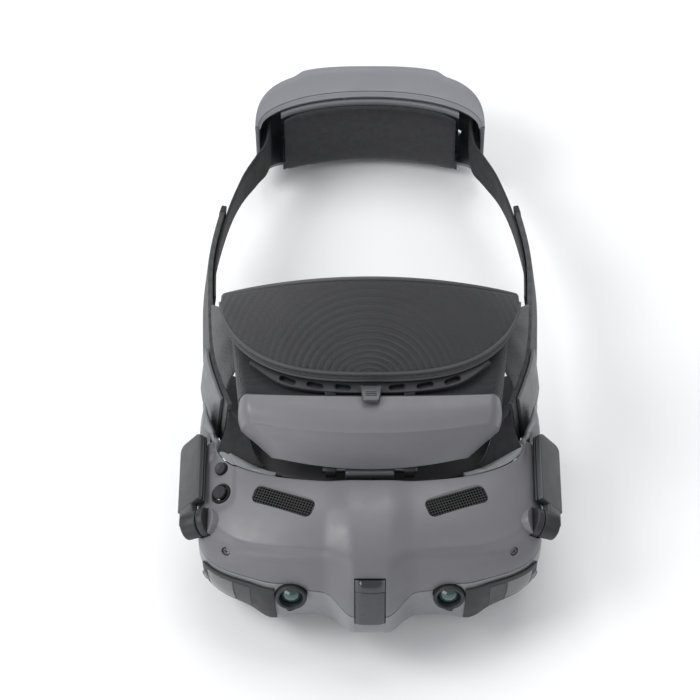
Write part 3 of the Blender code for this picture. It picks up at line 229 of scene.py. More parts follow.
PANE = polished("sensor window", (0.045, 0.047, 0.052), 0.22, 0.5)
LENS_TEAL = polished("coated lens", (0.012, 0.055, 0.048), 0.04)
LENS_CLEAR = polished("eye lens", (0.045, 0.06, 0.07), 0.03)
STEEL = plastic("dark steel", (0.16, 0.16, 0.165), 0.32, 0.4, 0.01, 0.1, 0.0, 1.0)
ALUMINIUM = plastic("aluminium", (0.55, 0.55, 0.57), 0.35, 0.4, 0.01, 0.08, 0.0, 1.0)
WRAP = plastic("cell wrap", (0.05, 0.10, 0.17), 0.35, 0.4, 0.01, 0.1)
CIRCUIT = plastic("solder mask", (0.012, 0.07, 0.03), 0.35, 1.2, 0.05, 0.35, 0.4)
DISPLAY = polished("display", (0.006, 0.007, 0.012), 0.05)
KNIT = knitted("headband knit", (0.010, 0.010, 0.011), (0.044, 0.045, 0.047))
GUSSET_KNIT = knitted("gusset knit", (0.006, 0.006, 0.006), (0.017, 0.018, 0.019), 1.1, 0.9, 0.12)
PAD_KNIT = knitted("pad knit", (0.012, 0.012, 0.013), (0.040, 0.040, 0.042), 0.7, 0.6, 0.07)
# The piping grey is lighter than the rubber: a painted highlight along the cushion's rim and seam cords.
PIPING_PAINTED_HIGHLIGHT = plastic("piping", (0.062, 0.062, 0.065), 0.6, 0.5, 0.04, 0.15)
CLIP_GREY = plastic("clip grey", (0.095, 0.098, 0.105), 0.42, 0.45, 0.018)
FOAM = brushed_cloth("foam cover", (0.009, 0.009, 0.010), (0.032, 0.032, 0.034))


# ================================================================ mesh tools
def smoothstep(low, high, value):
    share = min(1.0, max(0.0, (value - low) / (high - low)))
    return share * share * (3 - 2 * share)


def lerp(a, b, share):
    return a + (b - a) * share


def catmull(values, place):
    count = len(values)
    place = min(max(place, 0.0), count - 1.0)
    first = min(int(place), count - 2)
    share = place - first
    before = values[first - 1] if first else 2 * values[0] - values[1]
    after = values[first + 2] if first + 2 < count else 2 * values[-1] - values[-2]
    here, there = values[first], values[first + 1]
    return 0.5 * (
        2 * here
        + (there - before) * share
        + (2 * before - 5 * here + 4 * there - after) * share**2
        + (3 * here - before - 3 * there + after) * share**3
    )


def straight(values, place):
    place = min(max(place, 0.0), len(values) - 1.0)
    first = min(int(place), len(values) - 2)
    return lerp(values[first], values[first + 1], place - first)


def superellipse(angle, squareness):
    side, ahead = sin(angle), cos(angle)
    reach = (abs(side) ** squareness + abs(ahead) ** squareness) ** (-1 / squareness)
    return reach * side, reach * ahead


def fan_of_angles(half_count, crowding):
    shares = [k / half_count for k in range(-half_count, half_count + 1)]
    return [copysign(abs(share) ** crowding, share) * HALF_PI for share in shares]


def mirror(point, side):
    return Vector((point[0] * side, point[1], point[2]))


def along(direction):
    return Vector(direction).to_track_quat("Z", "Y").to_matrix().to_4x4()


def link(obj):
    bpy.context.scene.collection.objects.link(obj)
    return obj


def new_object(name, bm, matrix=None):
    bmesh.ops.recalc_face_normals(bm, faces=bm.faces[:])
    mesh = bpy.data.meshes.new(name)
    bm.to_mesh(mesh)
    bm.free()
    made = link(bpy.data.objects.new(name, mesh))
    if matrix is not None:
        mesh.transform(matrix)
    return made


def settle(obj, angle=32.0):
    """Turns the modifiers into plain mesh, shaded smooth except at sharp corners."""
    bpy.context.view_layer.update()
    graph = bpy.context.evaluated_depsgraph_get()
    mesh = bpy.data.meshes.new_from_object(obj.evaluated_get(graph))
    old = obj.data
    obj.modifiers.clear()
    obj.data = mesh
    bpy.data.meshes.remove(old)
    mesh.name = obj.name
    mesh.shade_smooth()
    mesh.set_sharp_from_angle(angle=radians(angle))
    return obj


def bevel(obj, width, segments=3, angle=50.0):
    step = obj.modifiers.new("rounding", "BEVEL")
    step.width = width
    step.segments = segments
    step.limit_method = "ANGLE"
    step.angle_limit = radians(angle)
    step.harden_normals = False
    return obj


def cut(obj, cutters, operation="DIFFERENCE", solver="MANIFOLD"):
    """Cuts a settled mesh with other objects, which are then removed."""
    for cutter in cutters:
        step = obj.modifiers.new("cut", "BOOLEAN")
        step.operation = operation
        step.object = cutter
        step.solver = solver
    settle(obj)
    for cutter in cutters:
        bpy.data.objects.remove(cutter)
    return obj


def dress(obj, look):
    obj.data.materials.clear()
    obj.data.materials.append(look)


def show(obj, look, body, *nodes, slot=None):
    """The piece gets its material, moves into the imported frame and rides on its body."""
    dress(obj, look)
    obj.location = SHIFT
    bpy.context.view_layer.update()
    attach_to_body(obj, body)
    if nodes:
        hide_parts(*nodes)


def attach(obj, look, parent):
    """A further piece, which goes where its parent goes."""
    dress(obj, look)
    obj.parent = parent
    obj.matrix_parent_inverse = parent.matrix_world.inverted()
    obj.matrix_world = Matrix.Translation(SHIFT)


def grid(rows, closed=False, ring=False):
    """Faces between rows of points: closed joins the ends of each row, ring the last row to the first."""
    bm = bmesh.new()
    made = [[bm.verts.new(point) for point in row] for row in rows]
    after_row = made[1:] + made[:1] if ring else made[1:]
    for upper, lower in zip(made, after_row):
        count = len(upper)
        for k in range(count if closed else count - 1):
            after = (k + 1) % count
            bm.faces.new((upper[k], upper[after], lower[after], lower[k]))
    return bm


def close_ends(bm, count):
    """Closes the first and the last ring of count points."""
    bm.verts.ensure_lookup_table()
    for start in (0, len(bm.verts) - count):
        bm.faces.new([bm.verts[start + k] for k in range(count)])


def sheet(name, rows, thickness, inside, rim=0.3 * MM):
    """An open surface through rows of points, thickened towards the point inside, with rounded edges."""
    made = new_object(name, grid(rows))
    middle = made.data.polygons[len(made.data.polygons) // 2]
    if middle.normal.dot(middle.center - Vector(inside)) < 0:
        made.data.flip_normals()
    wall = made.modifiers.new("wall", "SOLIDIFY")
    wall.thickness = thickness
    wall.offset = -1.0
    if rim:
        bevel(made, rim, 2, 60.0)
    return settle(made)


def loft(name, sections, ring=False):
    """A solid through closed sections: capped at both ends, or a closed ring of sections."""
    bm = grid(sections, closed=True, ring=ring)
    if not ring:
        close_ends(bm, len(sections[0]))
    return new_object(name, bm)


def cylinder(name, radius, start, end, segments=48, end_radius=None):
    start, end = Vector(start), Vector(end)
    bm = bmesh.new()
    bmesh.ops.create_cone(
        bm,
        cap_ends=True,
        segments=segments,
        radius1=radius,
        radius2=radius if end_radius is None else end_radius,
        depth=(end - start).length,
    )
    return new_object(name, bm, Matrix.Translation((start + end) / 2) @ along(end - start))


def box(name, size, centre, turn=None):
    bm = bmesh.new()
    bmesh.ops.create_cube(bm, size=1.0)
    bmesh.ops.scale(bm, vec=size, verts=bm.verts[:])
    return new_object(name, bm, Matrix.Translation(centre) @ (turn or Matrix.Identity(4)))


def turned(name, profile, matrix, steps=64, ridges=0, ridge=0.0):
    """A turned solid from (radius, height) pairs, with optional knurling on its widest part."""
    widest = max(radius for radius, _ in profile)
    if ridges:
        steps = ridges * 4
    rows = []
    for radius, height in profile:
        row = []
        for k in range(steps):
            turn = 2 * pi * k / steps
            dent = ridge * (k % 4 < 2) if ridges and radius > widest - 0.7 * MM else 0.0
            row.append(Vector(((radius - dent) * cos(turn), (radius - dent) * sin(turn), height)))
        rows.append(row)
    bm = grid(rows, closed=True)
    if profile[0] != profile[-1]:
        close_ends(bm, steps)
    bmesh.ops.remove_doubles(bm, verts=bm.verts[:], dist=1e-7)
    made = new_object(name, bm, matrix)
    return settle(made, 38.0)


def in_mm(*pairs):
    return [(radius * MM, height * MM) for radius, height in pairs]


def rounded(radius_out, low, high, round_by, radius_in=AXIS):
    """A turned profile with rounded rims, from the top middle down to the foot."""
    turns = [HALF_PI * k / 5 for k in range(6)]
    upper = [(radius_out - round_by * (1 - sin(t)), high - round_by * (1 - cos(t))) for t in turns]
    lower = [(radius_out - round_by * (1 - cos(t)), low + round_by * (1 - sin(t))) for t in turns]
    return [(radius_in, high)] + upper + lower + [(radius_in, low)]


def pill_outline(length, width, corner=None):
    """The outline of a pill, or of a box with round corners."""
    if corner is None:
        ends, corner, quarters = 14, width / 2, ((1, 0, -1, 2), (-1, 0, 1, 2))
    else:
        ends, quarters = 8, ((1, 1, 0, 1), (-1, 1, 1, 1), (-1, -1, 2, 1), (1, -1, 3, 1))
    outline = []
    for x, y, start, span in quarters:
        for k in range(ends + 1):
            turn = (start + span * k / ends) * HALF_PI
            middle = (x * (length / 2 - corner), y * (width / 2 - corner))
            outline.append((middle[0] + cos(turn) * corner, middle[1] + sin(turn) * corner))
    return outline


def pill(name, length, width, low, high, matrix, flare=0.0, corner=None, rise=0.0):
    """A pill-shaped plug, or one with smaller corners; flare widens its top and rise shifts it along Y."""
    wide = corner + flare if corner else None
    sections = [
        [Vector((x, y, low)) for x, y in pill_outline(length, width, corner=corner)],
        [
            Vector((x, y + rise, high))
            for x, y in pill_outline(length + 2 * flare, width + 2 * flare, corner=wide)
        ],
    ]
    made = loft(name, sections)
    made.data.transform(matrix)
    if matrix.determinant() < 0:
        made.data.flip_normals()
    return made


def tube(name, points, radius, closed=False):
    """A round cord through points."""
    curve = bpy.data.curves.new(name, "CURVE")
    curve.dimensions = "3D"
    spline = curve.splines.new("POLY")
    spline.points.add(len(points) - 1)
    for target, point in zip(spline.points, points):
        target.co = (*point, 1.0)
    spline.use_cyclic_u = closed
    curve.bevel_depth = radius
    curve.bevel_resolution = 3
    curve.use_fill_caps = not closed
    holder = link(bpy.data.objects.new(name, curve))
    bpy.context.view_layer.update()
    mesh = bpy.data.meshes.new_from_object(holder.evaluated_get(bpy.context.evaluated_depsgraph_get()))
    bpy.data.objects.remove(holder)
    bm = bmesh.new()
    bm.from_mesh(mesh)
    bmesh.ops.remove_doubles(bm, verts=bm.verts[:], dist=1e-6)
    made = new_object(name, bm)
    return settle(made, 50.0)


# ================================================================ the body's outer skin
RIDGE_FLAT, RIDGE_FOOT = 7.0 * MM, 21.0 * MM
NOSE_FLAT, NOSE_FOOT = 5.0 * MM, 19.0 * MM
CHEEK_X, CHEEK_SPREAD = 44.0 * MM, 7.5 * MM
SHELL_WALL, SEAM_STEP, GAP = 1.8 * MM, 0.025, 0.35 * MM
# mid_z side_z front_y half_x back_y square wrap ridge_out ridge_up cheek nose
BODY_ROWS = [
    (71.0, 62.0, -79.0, 70.2, -50.0, 2.2, 0.0, 0.0, 1.5, 0.0, 0.0),
    (71.0, 60.0, -94.0, 70.5, -54.0, 3.0, 4.0, 1.0, 2.4, 0.0, 0.0),
    (65.5, 56.5, -109.5, 73.5, -58.0, 5.0, 8.0, 4.0, 2.6, 0.0, 0.0),
    (56.5, 51.0, -114.5, 77.0, -61.0, 7.0, 11.0, 7.5, 1.0, 0.0, 0.0),
    (46.0, 44.5, -117.5, 77.5, -62.0, 9.0, 12.0, 9.5, 0.5, 1.0, 0.0),
    (34.0, 33.0, -117.5, 77.5, -62.0, 9.0, 12.0, 12.5, 0.0, 4.0, 1.0),
    (20.0, 20.0, -115.5, 76.5, -61.0, 7.0, 11.0, 15.0, 0.0, 5.0, 8.0),
    (8.0, 8.0, -111.0, 74.0, -58.0, 6.0, 9.0, 11.5, 0.0, 3.0, 18.0),
    (1.4, 1.4, -103.0, 70.5, -53.0, 5.0, 6.0, 5.0, 0.0, 0.0, 23.5),
    (0.0, 0.0, -92.0, 66.0, -46.0, 4.0, 3.0, 2.0, 0.0, 0.0, 25.0),
    (0.0, 0.0, -62.0, 59.0, -40.0, 2.4, 0.0, 0.0, 0.0, 0.0, 25.0),
]
BODY_COLUMNS = list(zip(*BODY_ROWS))
BODY_INSIDE = Vector((0.0, -75.0, 36.0)) * MM
BROW = 2.0
JOY_PLAN, BACK_PLAN = Vector((-67.0, -78.0)) * MM, Vector((-67.0, -66.0)) * MM


def body_point(place, angle, plain=False):
    """The skin at a place down the rows and an angle round the body; plain leaves out crease and scoop."""
    place = min(max(place, 0.0), 10.0)
    smooth = [catmull(column, place) for column in BODY_COLUMNS]
    if not plain:
        crease = 0.95 * exp(-(((place - BROW) / 0.42) ** 2)) * smoothstep(0.2, 0.42, abs(sin(angle)))
        if crease > 0.01:
            flat = [straight(column, place) for column in BODY_COLUMNS]
            smooth = [lerp(a, b, crease) for a, b in zip(smooth, flat)]
    mid_z, side_z, front_y, half_x, back_y, square, wrap, ridge_out, ridge_up, cheek_out, nose_up = smooth
    across, ahead = superellipse(angle, square)
    x = half_x * MM * across
    y = (back_y + (front_y - back_y) * ahead + wrap * abs(across) ** 2.5) * MM
    z = (mid_z + (side_z - mid_z) * abs(across) ** 2.2) * MM
    ridge = 1.0 - smoothstep(RIDGE_FLAT, RIDGE_FOOT, abs(x))
    cheek = exp(-(((abs(x) - CHEEK_X) / CHEEK_SPREAD) ** 2))
    nose = 1.0 - smoothstep(NOSE_FLAT, NOSE_FOOT, abs(x))
    point = Vector((x, y, max(z, 0.0)))
    point.y -= (ridge * ridge_out + cheek * cheek_out) * MM
    point.z += (ridge * ridge_up + nose * nose_up) * MM
    if not plain and x < 0 and place < 2.2:
        at = Vector((point.x, point.y))
        run = BACK_PLAN - JOY_PLAN
        share = min(1.25, max(-0.1, (at - JOY_PLAN).dot(run) / run.length_squared))
        away = (at - (JOY_PLAN + run * share)).length
        point.z -= 1.1 * MM * (1.0 - smoothstep(5.6 * MM, 7.6 * MM, away))
    return point


def body_normal(place, angle):
    step = 0.02
    low, high = max(0.0, place - step), min(10.0, place + step)
    down = body_point(high, angle, True) - body_point(low, angle, True)
    left, right = max(-HALF_PI, angle - step), min(HALF_PI, angle + step)
    over = body_point(place, right, True) - body_point(place, left, True)
    return down.cross(over).normalized()


def body_frame(place, angle):
    return Matrix.Translation(body_point(place, angle, True)) @ along(body_normal(place, angle))


def angle_at(place, x):
    """The angle where a row of the skin reaches x."""
    left, right = 0.0, HALF_PI
    for _ in range(40):
        middle = (left + right) / 2
        if body_point(place, middle, True).x < abs(x):
            left = middle
        else:
            right = middle
    return copysign((left + right) / 2, x)


def find_on_skin(x, y, low, high):
    """The place and angle where the skin passes over a plan position."""
    for _ in range(34):
        middle = (low + high) / 2
        if body_point(middle, angle_at(middle, abs(x)), True).y < y:
            high = middle
        else:
            low = middle
    return (low + high) / 2, angle_at((low + high) / 2, x)


def parting(angle):
    """How far the line between the shells drops in the middle of the face."""
    beside = 1.0 - smoothstep(radians(20.0), radians(27.5), abs(angle))
    return 0.42 * beside + 0.22 * (1.0 - smoothstep(radians(5.0), radians(21.0), abs(angle)))


def skin(start, end, count, angles, lift=0.0, drop_start=0.0, drop_end=0.0):
    rows = []
    for k in range(count):
        row = []
        for angle in angles:
            drop = parting(angle)
            place = lerp(start + drop * drop_start, end + drop * drop_end, k / (count - 1))
            point = body_point(place, angle)
            if lift:
                point = point + body_normal(place, angle) * lift
            row.append(point)
        rows.append(row)
    return rows


FINE = 1.0
BODY_ANGLES = fan_of_angles(int(84 * FINE), 1.15)
top_shell = sheet(
    "shell_top",
    skin(0.0, 4.0 - SEAM_STEP, int(74 * FINE), BODY_ANGLES, 0.0, 0.0, 1.0),
    SHELL_WALL,
    BODY_INSIDE,
)
front_shell = sheet(
    "shell_front", skin(
        4.0 + SEAM_STEP, 8.9 - SEAM_STEP, int(64 * FINE), BODY_ANGLES, 0.0, 1.0, 0.0
    ), SHELL_WALL, BODY_INSIDE
)
bottom_cover = sheet(
    "cover_bottom", skin(8.9 + 3 * SEAM_STEP, 10.0, int(20 * FINE), BODY_ANGLES), SHELL_WALL, BODY_INSIDE
)
top_cutters, front_cutters, bottom_cutters = [], [], []


# ================================================================ vents
VENT, VENT_TURN, VENT_LENGTH, VENT_WIDTH = Vector((38.4, -87.0)) * MM, radians(22.0), 29.0 * MM, 8.6 * MM
FLIP = Matrix.Diagonal((-1.0, 1.0, 1.0, 1.0))


def vent_frame(side):
    place, angle = find_on_skin(VENT.x, VENT.y, 0.2, 2.0)
    made = body_frame(place, angle)
    normal = made.to_3x3().col[2]
    run = Vector((cos(VENT_TURN), sin(VENT_TURN), 0.0))
    run = (run - normal * run.dot(normal)).normalized()
    turn = Matrix((run, normal.cross(run), normal)).transposed().to_4x4()
    made = Matrix.Translation(made.translation) @ turn
    return made if side > 0 else FLIP @ made @ FLIP


def grille(name, matrix):
    """A thin plate with rows of square holes, trimmed to the pill-shaped opening."""
    pitch = 1.28 * MM
    columns, lines = 24, 8
    bm = bmesh.new()
    bmesh.ops.create_grid(bm, x_segments=columns, y_segments=lines, size=0.5)
    bmesh.ops.scale(bm, vec=(columns * pitch, lines * pitch, 1.0), verts=bm.verts[:])
    bars = set(bmesh.ops.inset_individual(bm, faces=bm.faces[:], thickness=0.25 * MM)["faces"])
    bmesh.ops.delete(bm, geom=[face for face in bm.faces if face not in bars], context="FACES")
    plate = new_object(name, bm)
    wall = plate.modifiers.new("wall", "SOLIDIFY")
    wall.thickness = 0.9 * MM
    wall.offset = 0.0
    settle(plate)
    trim = pill(
        name + "_trim", VENT_LENGTH - 0.4 * MM, VENT_WIDTH - 0.4 * MM, -2 * MM, 2 * MM, Matrix.Identity(4),
        0.0, 2.7 * MM,
    )
    cut(plate, [trim], "INTERSECT", "EXACT")
    plate.data.transform(matrix @ Matrix.Translation((0.0, 0.0, -1.15 * MM)))
    return plate


for label, side in SIDES:
    matrix = vent_frame(side)
    top_cutters.append(
        pill(f"vent_{label}", VENT_LENGTH, VENT_WIDTH, -8 * MM, 8 * MM, matrix, 0.0, 2.9 * MM)
    )
    top_cutters.append(
        pill(
            f"vent_{label}_edge", VENT_LENGTH - 1.0 * MM, VENT_WIDTH - 1.0 * MM, -1.3 * MM, 2.1 * MM,
            matrix, 2.6 * MM, 2.6 * MM, 2.3 * MM,
        )
    )
    show(grille(f"grille_{label}", matrix), GRILLE, "goggles", f"vent_grille_{label}")

# ================================================================ nose bar
BAR_HALF, BAR_TOP, BAR_FOOT = 6.6 * MM, 2.9, 5.0


def ridge_block(name, half, start, end, lift, wall, rim, rows=40, rounding=0.0):
    """A slab that follows the middle ridge; rounding lowers its long edges."""
    xs = [half * k / 8 for k in range(-8, 9)]
    points = []
    for k in range(rows + 1):
        place = lerp(start, end, k / rows)
        middle, normal = body_point(place, 0.0), body_normal(place, 0.0)
        points.append(
            [Vector((x, middle.y, middle.z)) + normal * (lift - rounding * (x / half) ** 4) for x in xs]
        )
    return sheet(name, points, wall, BODY_INSIDE, rim)


slot = dict(lift=3 * MM, wall=9 * MM, rim=0.0)
for cutters in (top_cutters, front_cutters):
    cutters.append(
        ridge_block("bar_slot", BAR_HALF + 0.3 * MM, BAR_TOP - 0.035, BAR_FOOT + 0.035, rows=24, **slot)
    )
bar = ridge_block(
    "nose_bar_body", BAR_HALF, BAR_TOP + 0.5, BAR_FOOT, 1.3 * MM, 2.5 * MM, 0.5 * MM, 40, 1.1 * MM
)
show(bar, BAR_GREY, "goggles", "nose_bar", slot="gloss_black")
cap = ridge_block(
    "nose_bar_cap", BAR_HALF, BAR_TOP, BAR_TOP + 0.48, 1.5 * MM, 2.7 * MM, 0.9 * MM, 30, 1.2 * MM
)
attach(cap, GLOSS, bar)

# ================================================================ cameras and bezels
CAMERA, CAMERA_RADIUS, LENS_RADIUS = Vector((35.0, -115.5, 38.0)) * MM, 7.0 * MM, 4.4 * MM
CAMERA_RISE = radians(16.0)
BEZEL_START, BEZEL_END = radians(28.6), radians(46.5)
BEZEL_WALL = 1.1 * MM


def bezel_angles(side, start, end, count):
    return [side * lerp(start, end, k / (count - 1)) for k in range(count)]


def lens_stack(name, matrix, ring, glass):
    """A small window: rounded ring and a domed glass."""
    rim = turned(
        name + "_ring",
        [
            (glass, -1.0 * MM),
            (glass, 0.1 * MM),
            (glass + 0.25 * (ring - glass), 0.45 * MM),
            (ring - 0.35 * (ring - glass), 0.5 * MM),
            (ring, 0.15 * MM),
            (ring, -1.0 * MM),
            (glass, -1.0 * MM),
        ],
        matrix,
    )
    edge = glass - 0.08 * MM
    dome = [(AXIS, 0.42 * MM), (glass * 0.4, 0.36 * MM), (glass * 0.75, 0.2 * MM), (edge, 0.0)]
    dome += [(edge, -0.7 * MM), (AXIS, -0.7 * MM)]
    pane = turned(name + "_glass", dome, matrix)
    return rim, pane


for label, side in SIDES:
    place = mirror(CAMERA, side)
    looks_at = Vector((0.0, -cos(CAMERA_RISE), sin(CAMERA_RISE)))
    axis = Matrix.Translation(place) @ along(looks_at)
    through = looks_at * 16 * MM
    hole, hole_in_front, hole_in_top = (
        cylinder(f"camera_{label}_hole", CAMERA_RADIUS + 0.3 * MM, place - through, place + through, 64)
        for _ in range(3)
    )
    front_cutters.append(hole_in_front)
    top_cutters.append(hole_in_top)
    lip, bore, depth = 0.9 * MM, LENS_RADIUS + 0.35 * MM, 7 * MM
    turns = [HALF_PI * (0.4 * t - 1.0) for t in range(1, 6)]
    profile = [(bore, -depth), (bore, 2.2 * MM), (CAMERA_RADIUS - 1.5 * MM, 4.4 * MM)]
    profile += [(CAMERA_RADIUS - lip + lip * sin(t), 4.1 * MM + lip * cos(t)) for t in turns]
    profile += [(CAMERA_RADIUS, 3.6 * MM), (CAMERA_RADIUS, -depth), (bore, -depth)]
    ring = turned(f"camera_{label}_ring", profile, axis, 72)
    show(ring, DARK, "goggles", f"camera_ring_{label}")
    lens = turned(
        f"camera_{label}_lens",
        [
            (AXIS, 4.2 * MM),
            *in_mm((1.2, 4.1), (2.4, 3.75), (3.4, 3.25)),
            (LENS_RADIUS, 2.5 * MM),
            (LENS_RADIUS, -6 * MM),
            (AXIS, -6 * MM),
        ],
        axis,
        72,
    )
    show(lens, LENS_TEAL, "goggles", f"camera_lens_{label}")

    bezel = sheet(
        f"bezel_{label}_rim",
        skin(4.25, 5.9, int(30 * FINE), bezel_angles(side, BEZEL_START, BEZEL_END, 48), GAP + BEZEL_WALL),
        BEZEL_WALL,
        BODY_INSIDE,
        0.4 * MM,
    )
    cut(bezel, [hole])
    show(bezel, DARK, "goggles", f"bezel_{label}", slot="gloss_black")
    for name, start, end in (("inner", 34.2, 38.0), ("outer", 38.35, 44.6)):
        pane = sheet(
            f"bezel_{label}_{name}",
            skin(
                4.42,
                5.72,
                int(24 * FINE),
                bezel_angles(side, radians(start), radians(end), 28),
                GAP + BEZEL_WALL + 0.22 * MM,
            ),
            0.8 * MM,
            BODY_INSIDE,
            0.35 * MM,
        )
        attach(pane, PANE if name == "outer" else SMOKED, bezel)
    low = body_frame(5.05, side * radians(45.6))
    lift = Matrix.Translation((0.0, 0.0, GAP + BEZEL_WALL + 0.1 * MM))
    rim, pane = lens_stack(
        f"side_sensor_{label}", low @ lift @ Matrix.Diagonal((0.8, 1.25, 1.0, 1.0)), 2.6 * MM, 1.9 * MM
    )
    attach(rim, LIGHT_GREY, bezel)
    attach(pane, GLOSS, bezel)
    under = body_frame(5.75, angle_at(5.75, side * 35.2 * MM))
    rim, pane = lens_stack(f"low_sensor_{label}", under, 2.3 * MM, 1.6 * MM)
    attach(rim, DARK, bezel)
    attach(pane, GLOSS, bezel)

# ================================================================ screws
for label, side in SIDES:
    place, angle = find_on_skin(64.0 * MM, -104.5 * MM, 2.0, 4.0)
    matrix = body_frame(place, side * angle)
    out, at = matrix.to_3x3().col[2], matrix.translation
    top_cutters.append(cylinder(f"screw_{label}_hole", 2.0 * MM, at - out * 5 * MM, at + out * 5 * MM, 40))
    top_cutters.append(
        cylinder(f"screw_{label}_sink", 1.9 * MM, at - out * 0.5 * MM, at + out * 1.0 * MM, 40, 3.1 * MM)
    )
    head = turned(f"screw_{label}_head", rounded(1.7 * MM, -5.0 * MM, -0.75 * MM, 0.35 * MM), matrix, 40)
    socket = [box("slot", (2.1 * MM, 0.5 * MM, 1.4 * MM), (0, 0, 0)) for _ in range(2)]
    for k, piece in enumerate(socket):
        piece.data.transform(
            matrix @ Matrix.Translation((0, 0, -0.75 * MM)) @ Matrix.Rotation(k * HALF_PI + 0.4, 4, "Z")
        )
    cut(head, socket)
    show(head, STEEL, "goggles", f"screw_{label}")

# ================================================================ antennas
HINGE = Vector((78.0, -90.0, 53.0)) * MM
HINGE_DROP, BLADE_LEAN = radians(26.0), radians(35.0)
BLADE_START, BLADE_END = 9.0 * MM, 44.5 * MM
BLADE_WIDTH, BLADE_THICK, BLADE_OUT = 17.0 * MM, 4.4 * MM, 2.0 * MM
HINGE_RADIUS, PIN_OF_HINGE, KNUCKLE_OUT = 6.4 * MM, 2.2 * MM, 4.8 * MM
BOSS_GAP, BOSS_DEPTH = 3.0 * MM, 14.0 * MM
FOOT_RADIUS = 6.3 * MM


def antenna_axes(side):
    axis = Vector((side * cos(HINGE_DROP), 0.0, -sin(HINGE_DROP)))
    face = Vector((side * cos(BLADE_LEAN), 0.0, sin(BLADE_LEAN)))
    width = Vector((-side * sin(BLADE_LEAN), 0.0, cos(BLADE_LEAN)))
    return axis, Vector((0.0, 1.0, 0.0)), width, face


def blade_outline(grow=0.0, corner=3.6 * MM):
    half, end = BLADE_WIDTH / 2 + grow, BLADE_END + grow
    turn = [HALF_PI * k / 10 for k in range(11)]
    low = [(end - corner + corner * sin(a), -half + corner - corner * cos(a)) for a in turn]
    high = [(end - corner + corner * cos(a), half - corner + corner * sin(a)) for a in turn]
    return [(BLADE_START, half), (BLADE_START, -half)] + low + high


for label, side in SIDES:
    axis, run, width, face = antenna_axes(side)
    centre = mirror(HINGE, side)
    middle = centre + Vector((side * BLADE_OUT, 0.0, 0.0))
    half_thick = BLADE_THICK / 2

    def slab(name, inner, outer, grow, rim):
        sections = [
            [middle + face * depth + run * a + width * b for a, b in blade_outline(grow)]
            for depth in (inner, outer)
        ]
        return settle(bevel(loft(name, sections), rim, 4, 60.0))

    blade = slab(f"blade_{label}", -half_thick + 1.35 * MM, half_thick, 0.0, 0.8 * MM)
    show(blade, BLADE_GREY, f"antenna_{label}", f"antenna_{label}")
    back = slab(f"blade_{label}_back", -half_thick, -half_thick + 1.25 * MM, -0.15 * MM, 0.45 * MM)
    attach(back, DARK, blade)
    edge_points = [
        middle + width * (BLADE_WIDTH / 2 - 0.35 * MM) + run * lerp(
            BLADE_START + 1.2 * MM, BLADE_END - 3.8 * MM, k / 20
        ) - face * 0.2 * MM
        for k in range(21)
    ]
    attach(tube(f"blade_{label}_edge", edge_points, 0.62 * MM), DARK, blade)
    knuckle = turned(
        f"knuckle_{label}",
        rounded(HINGE_RADIUS - 0.2 * MM, -BOSS_GAP, KNUCKLE_OUT, 0.9 * MM, PIN_OF_HINGE + 0.3 * MM)
        + [(PIN_OF_HINGE + 0.3 * MM, KNUCKLE_OUT)],
        Matrix.Translation(centre) @ along(axis),
    )
    neck_size = (BLADE_THICK - 0.3 * MM, BLADE_START + 1.0 * MM, 10.0 * MM)
    neck = box(f"neck_{label}", neck_size, (0, 0, 0))
    neck.data.transform(
        Matrix.Translation(middle + run * neck_size[1] / 2 - width * 2.2 * MM)
        @ Matrix((face, run, width)).transposed().to_4x4()
    )
    settle(bevel(neck, 0.9 * MM, 4))
    bore = cylinder(
        f"bore_{label}", PIN_OF_HINGE + 0.3 * MM, centre - axis * 9 * MM, centre + axis * 9 * MM
    )
    cut(neck, [bore])
    attach(knuckle, DARK, blade)
    attach(neck, BLADE_GREY, blade)

    boss_face = centre - axis * (BOSS_GAP + GAP)
    boss = turned(
        f"boss_{label}",
        rounded(HINGE_RADIUS, -3.4 * MM, 0.0, 0.7 * MM),
        Matrix.Translation(boss_face) @ along(axis),
    )
    show(boss, DARK, "goggles", f"antenna_mount_{label}")
    foot_at = boss_face - axis * 2.4 * MM
    foot_end = foot_at - Vector((side * BOSS_DEPTH * 0.62, 0.0, 4.6 * MM))
    foot = settle(
        bevel(cylinder(f"boss_{label}_foot", FOOT_RADIUS, foot_at, foot_end, 64, 4.0 * MM), 0.6 * MM)
    )
    attach(foot, BODY_GREY, boss)
    pin = turned(
        f"boss_{label}_pin",
        rounded(PIN_OF_HINGE, -2 * MM, KNUCKLE_OUT + BOSS_GAP + GAP + 0.6 * MM, 0.5 * MM),
        Matrix.Translation(boss_face) @ along(axis),
        36,
    )
    attach(pin, GLOSS, boss)
    for cutters in (top_cutters, front_cutters):
        cutters.append(
            cylinder(
                f"socket_{label}", HINGE_RADIUS + GAP, boss_face - axis * 3.8 * MM,
                boss_face + axis * 22 * MM, 64,
            )
        )

# ================================================================ shoulder buttons
JOY_RADIUS, JOY_RING, BACK_RADIUS = 3.2 * MM, 4.6 * MM, 2.8 * MM


def button_frame(plan):
    place, angle = find_on_skin(plan[0], plan[1], 0.1, 3.0)
    return body_frame(place, angle)


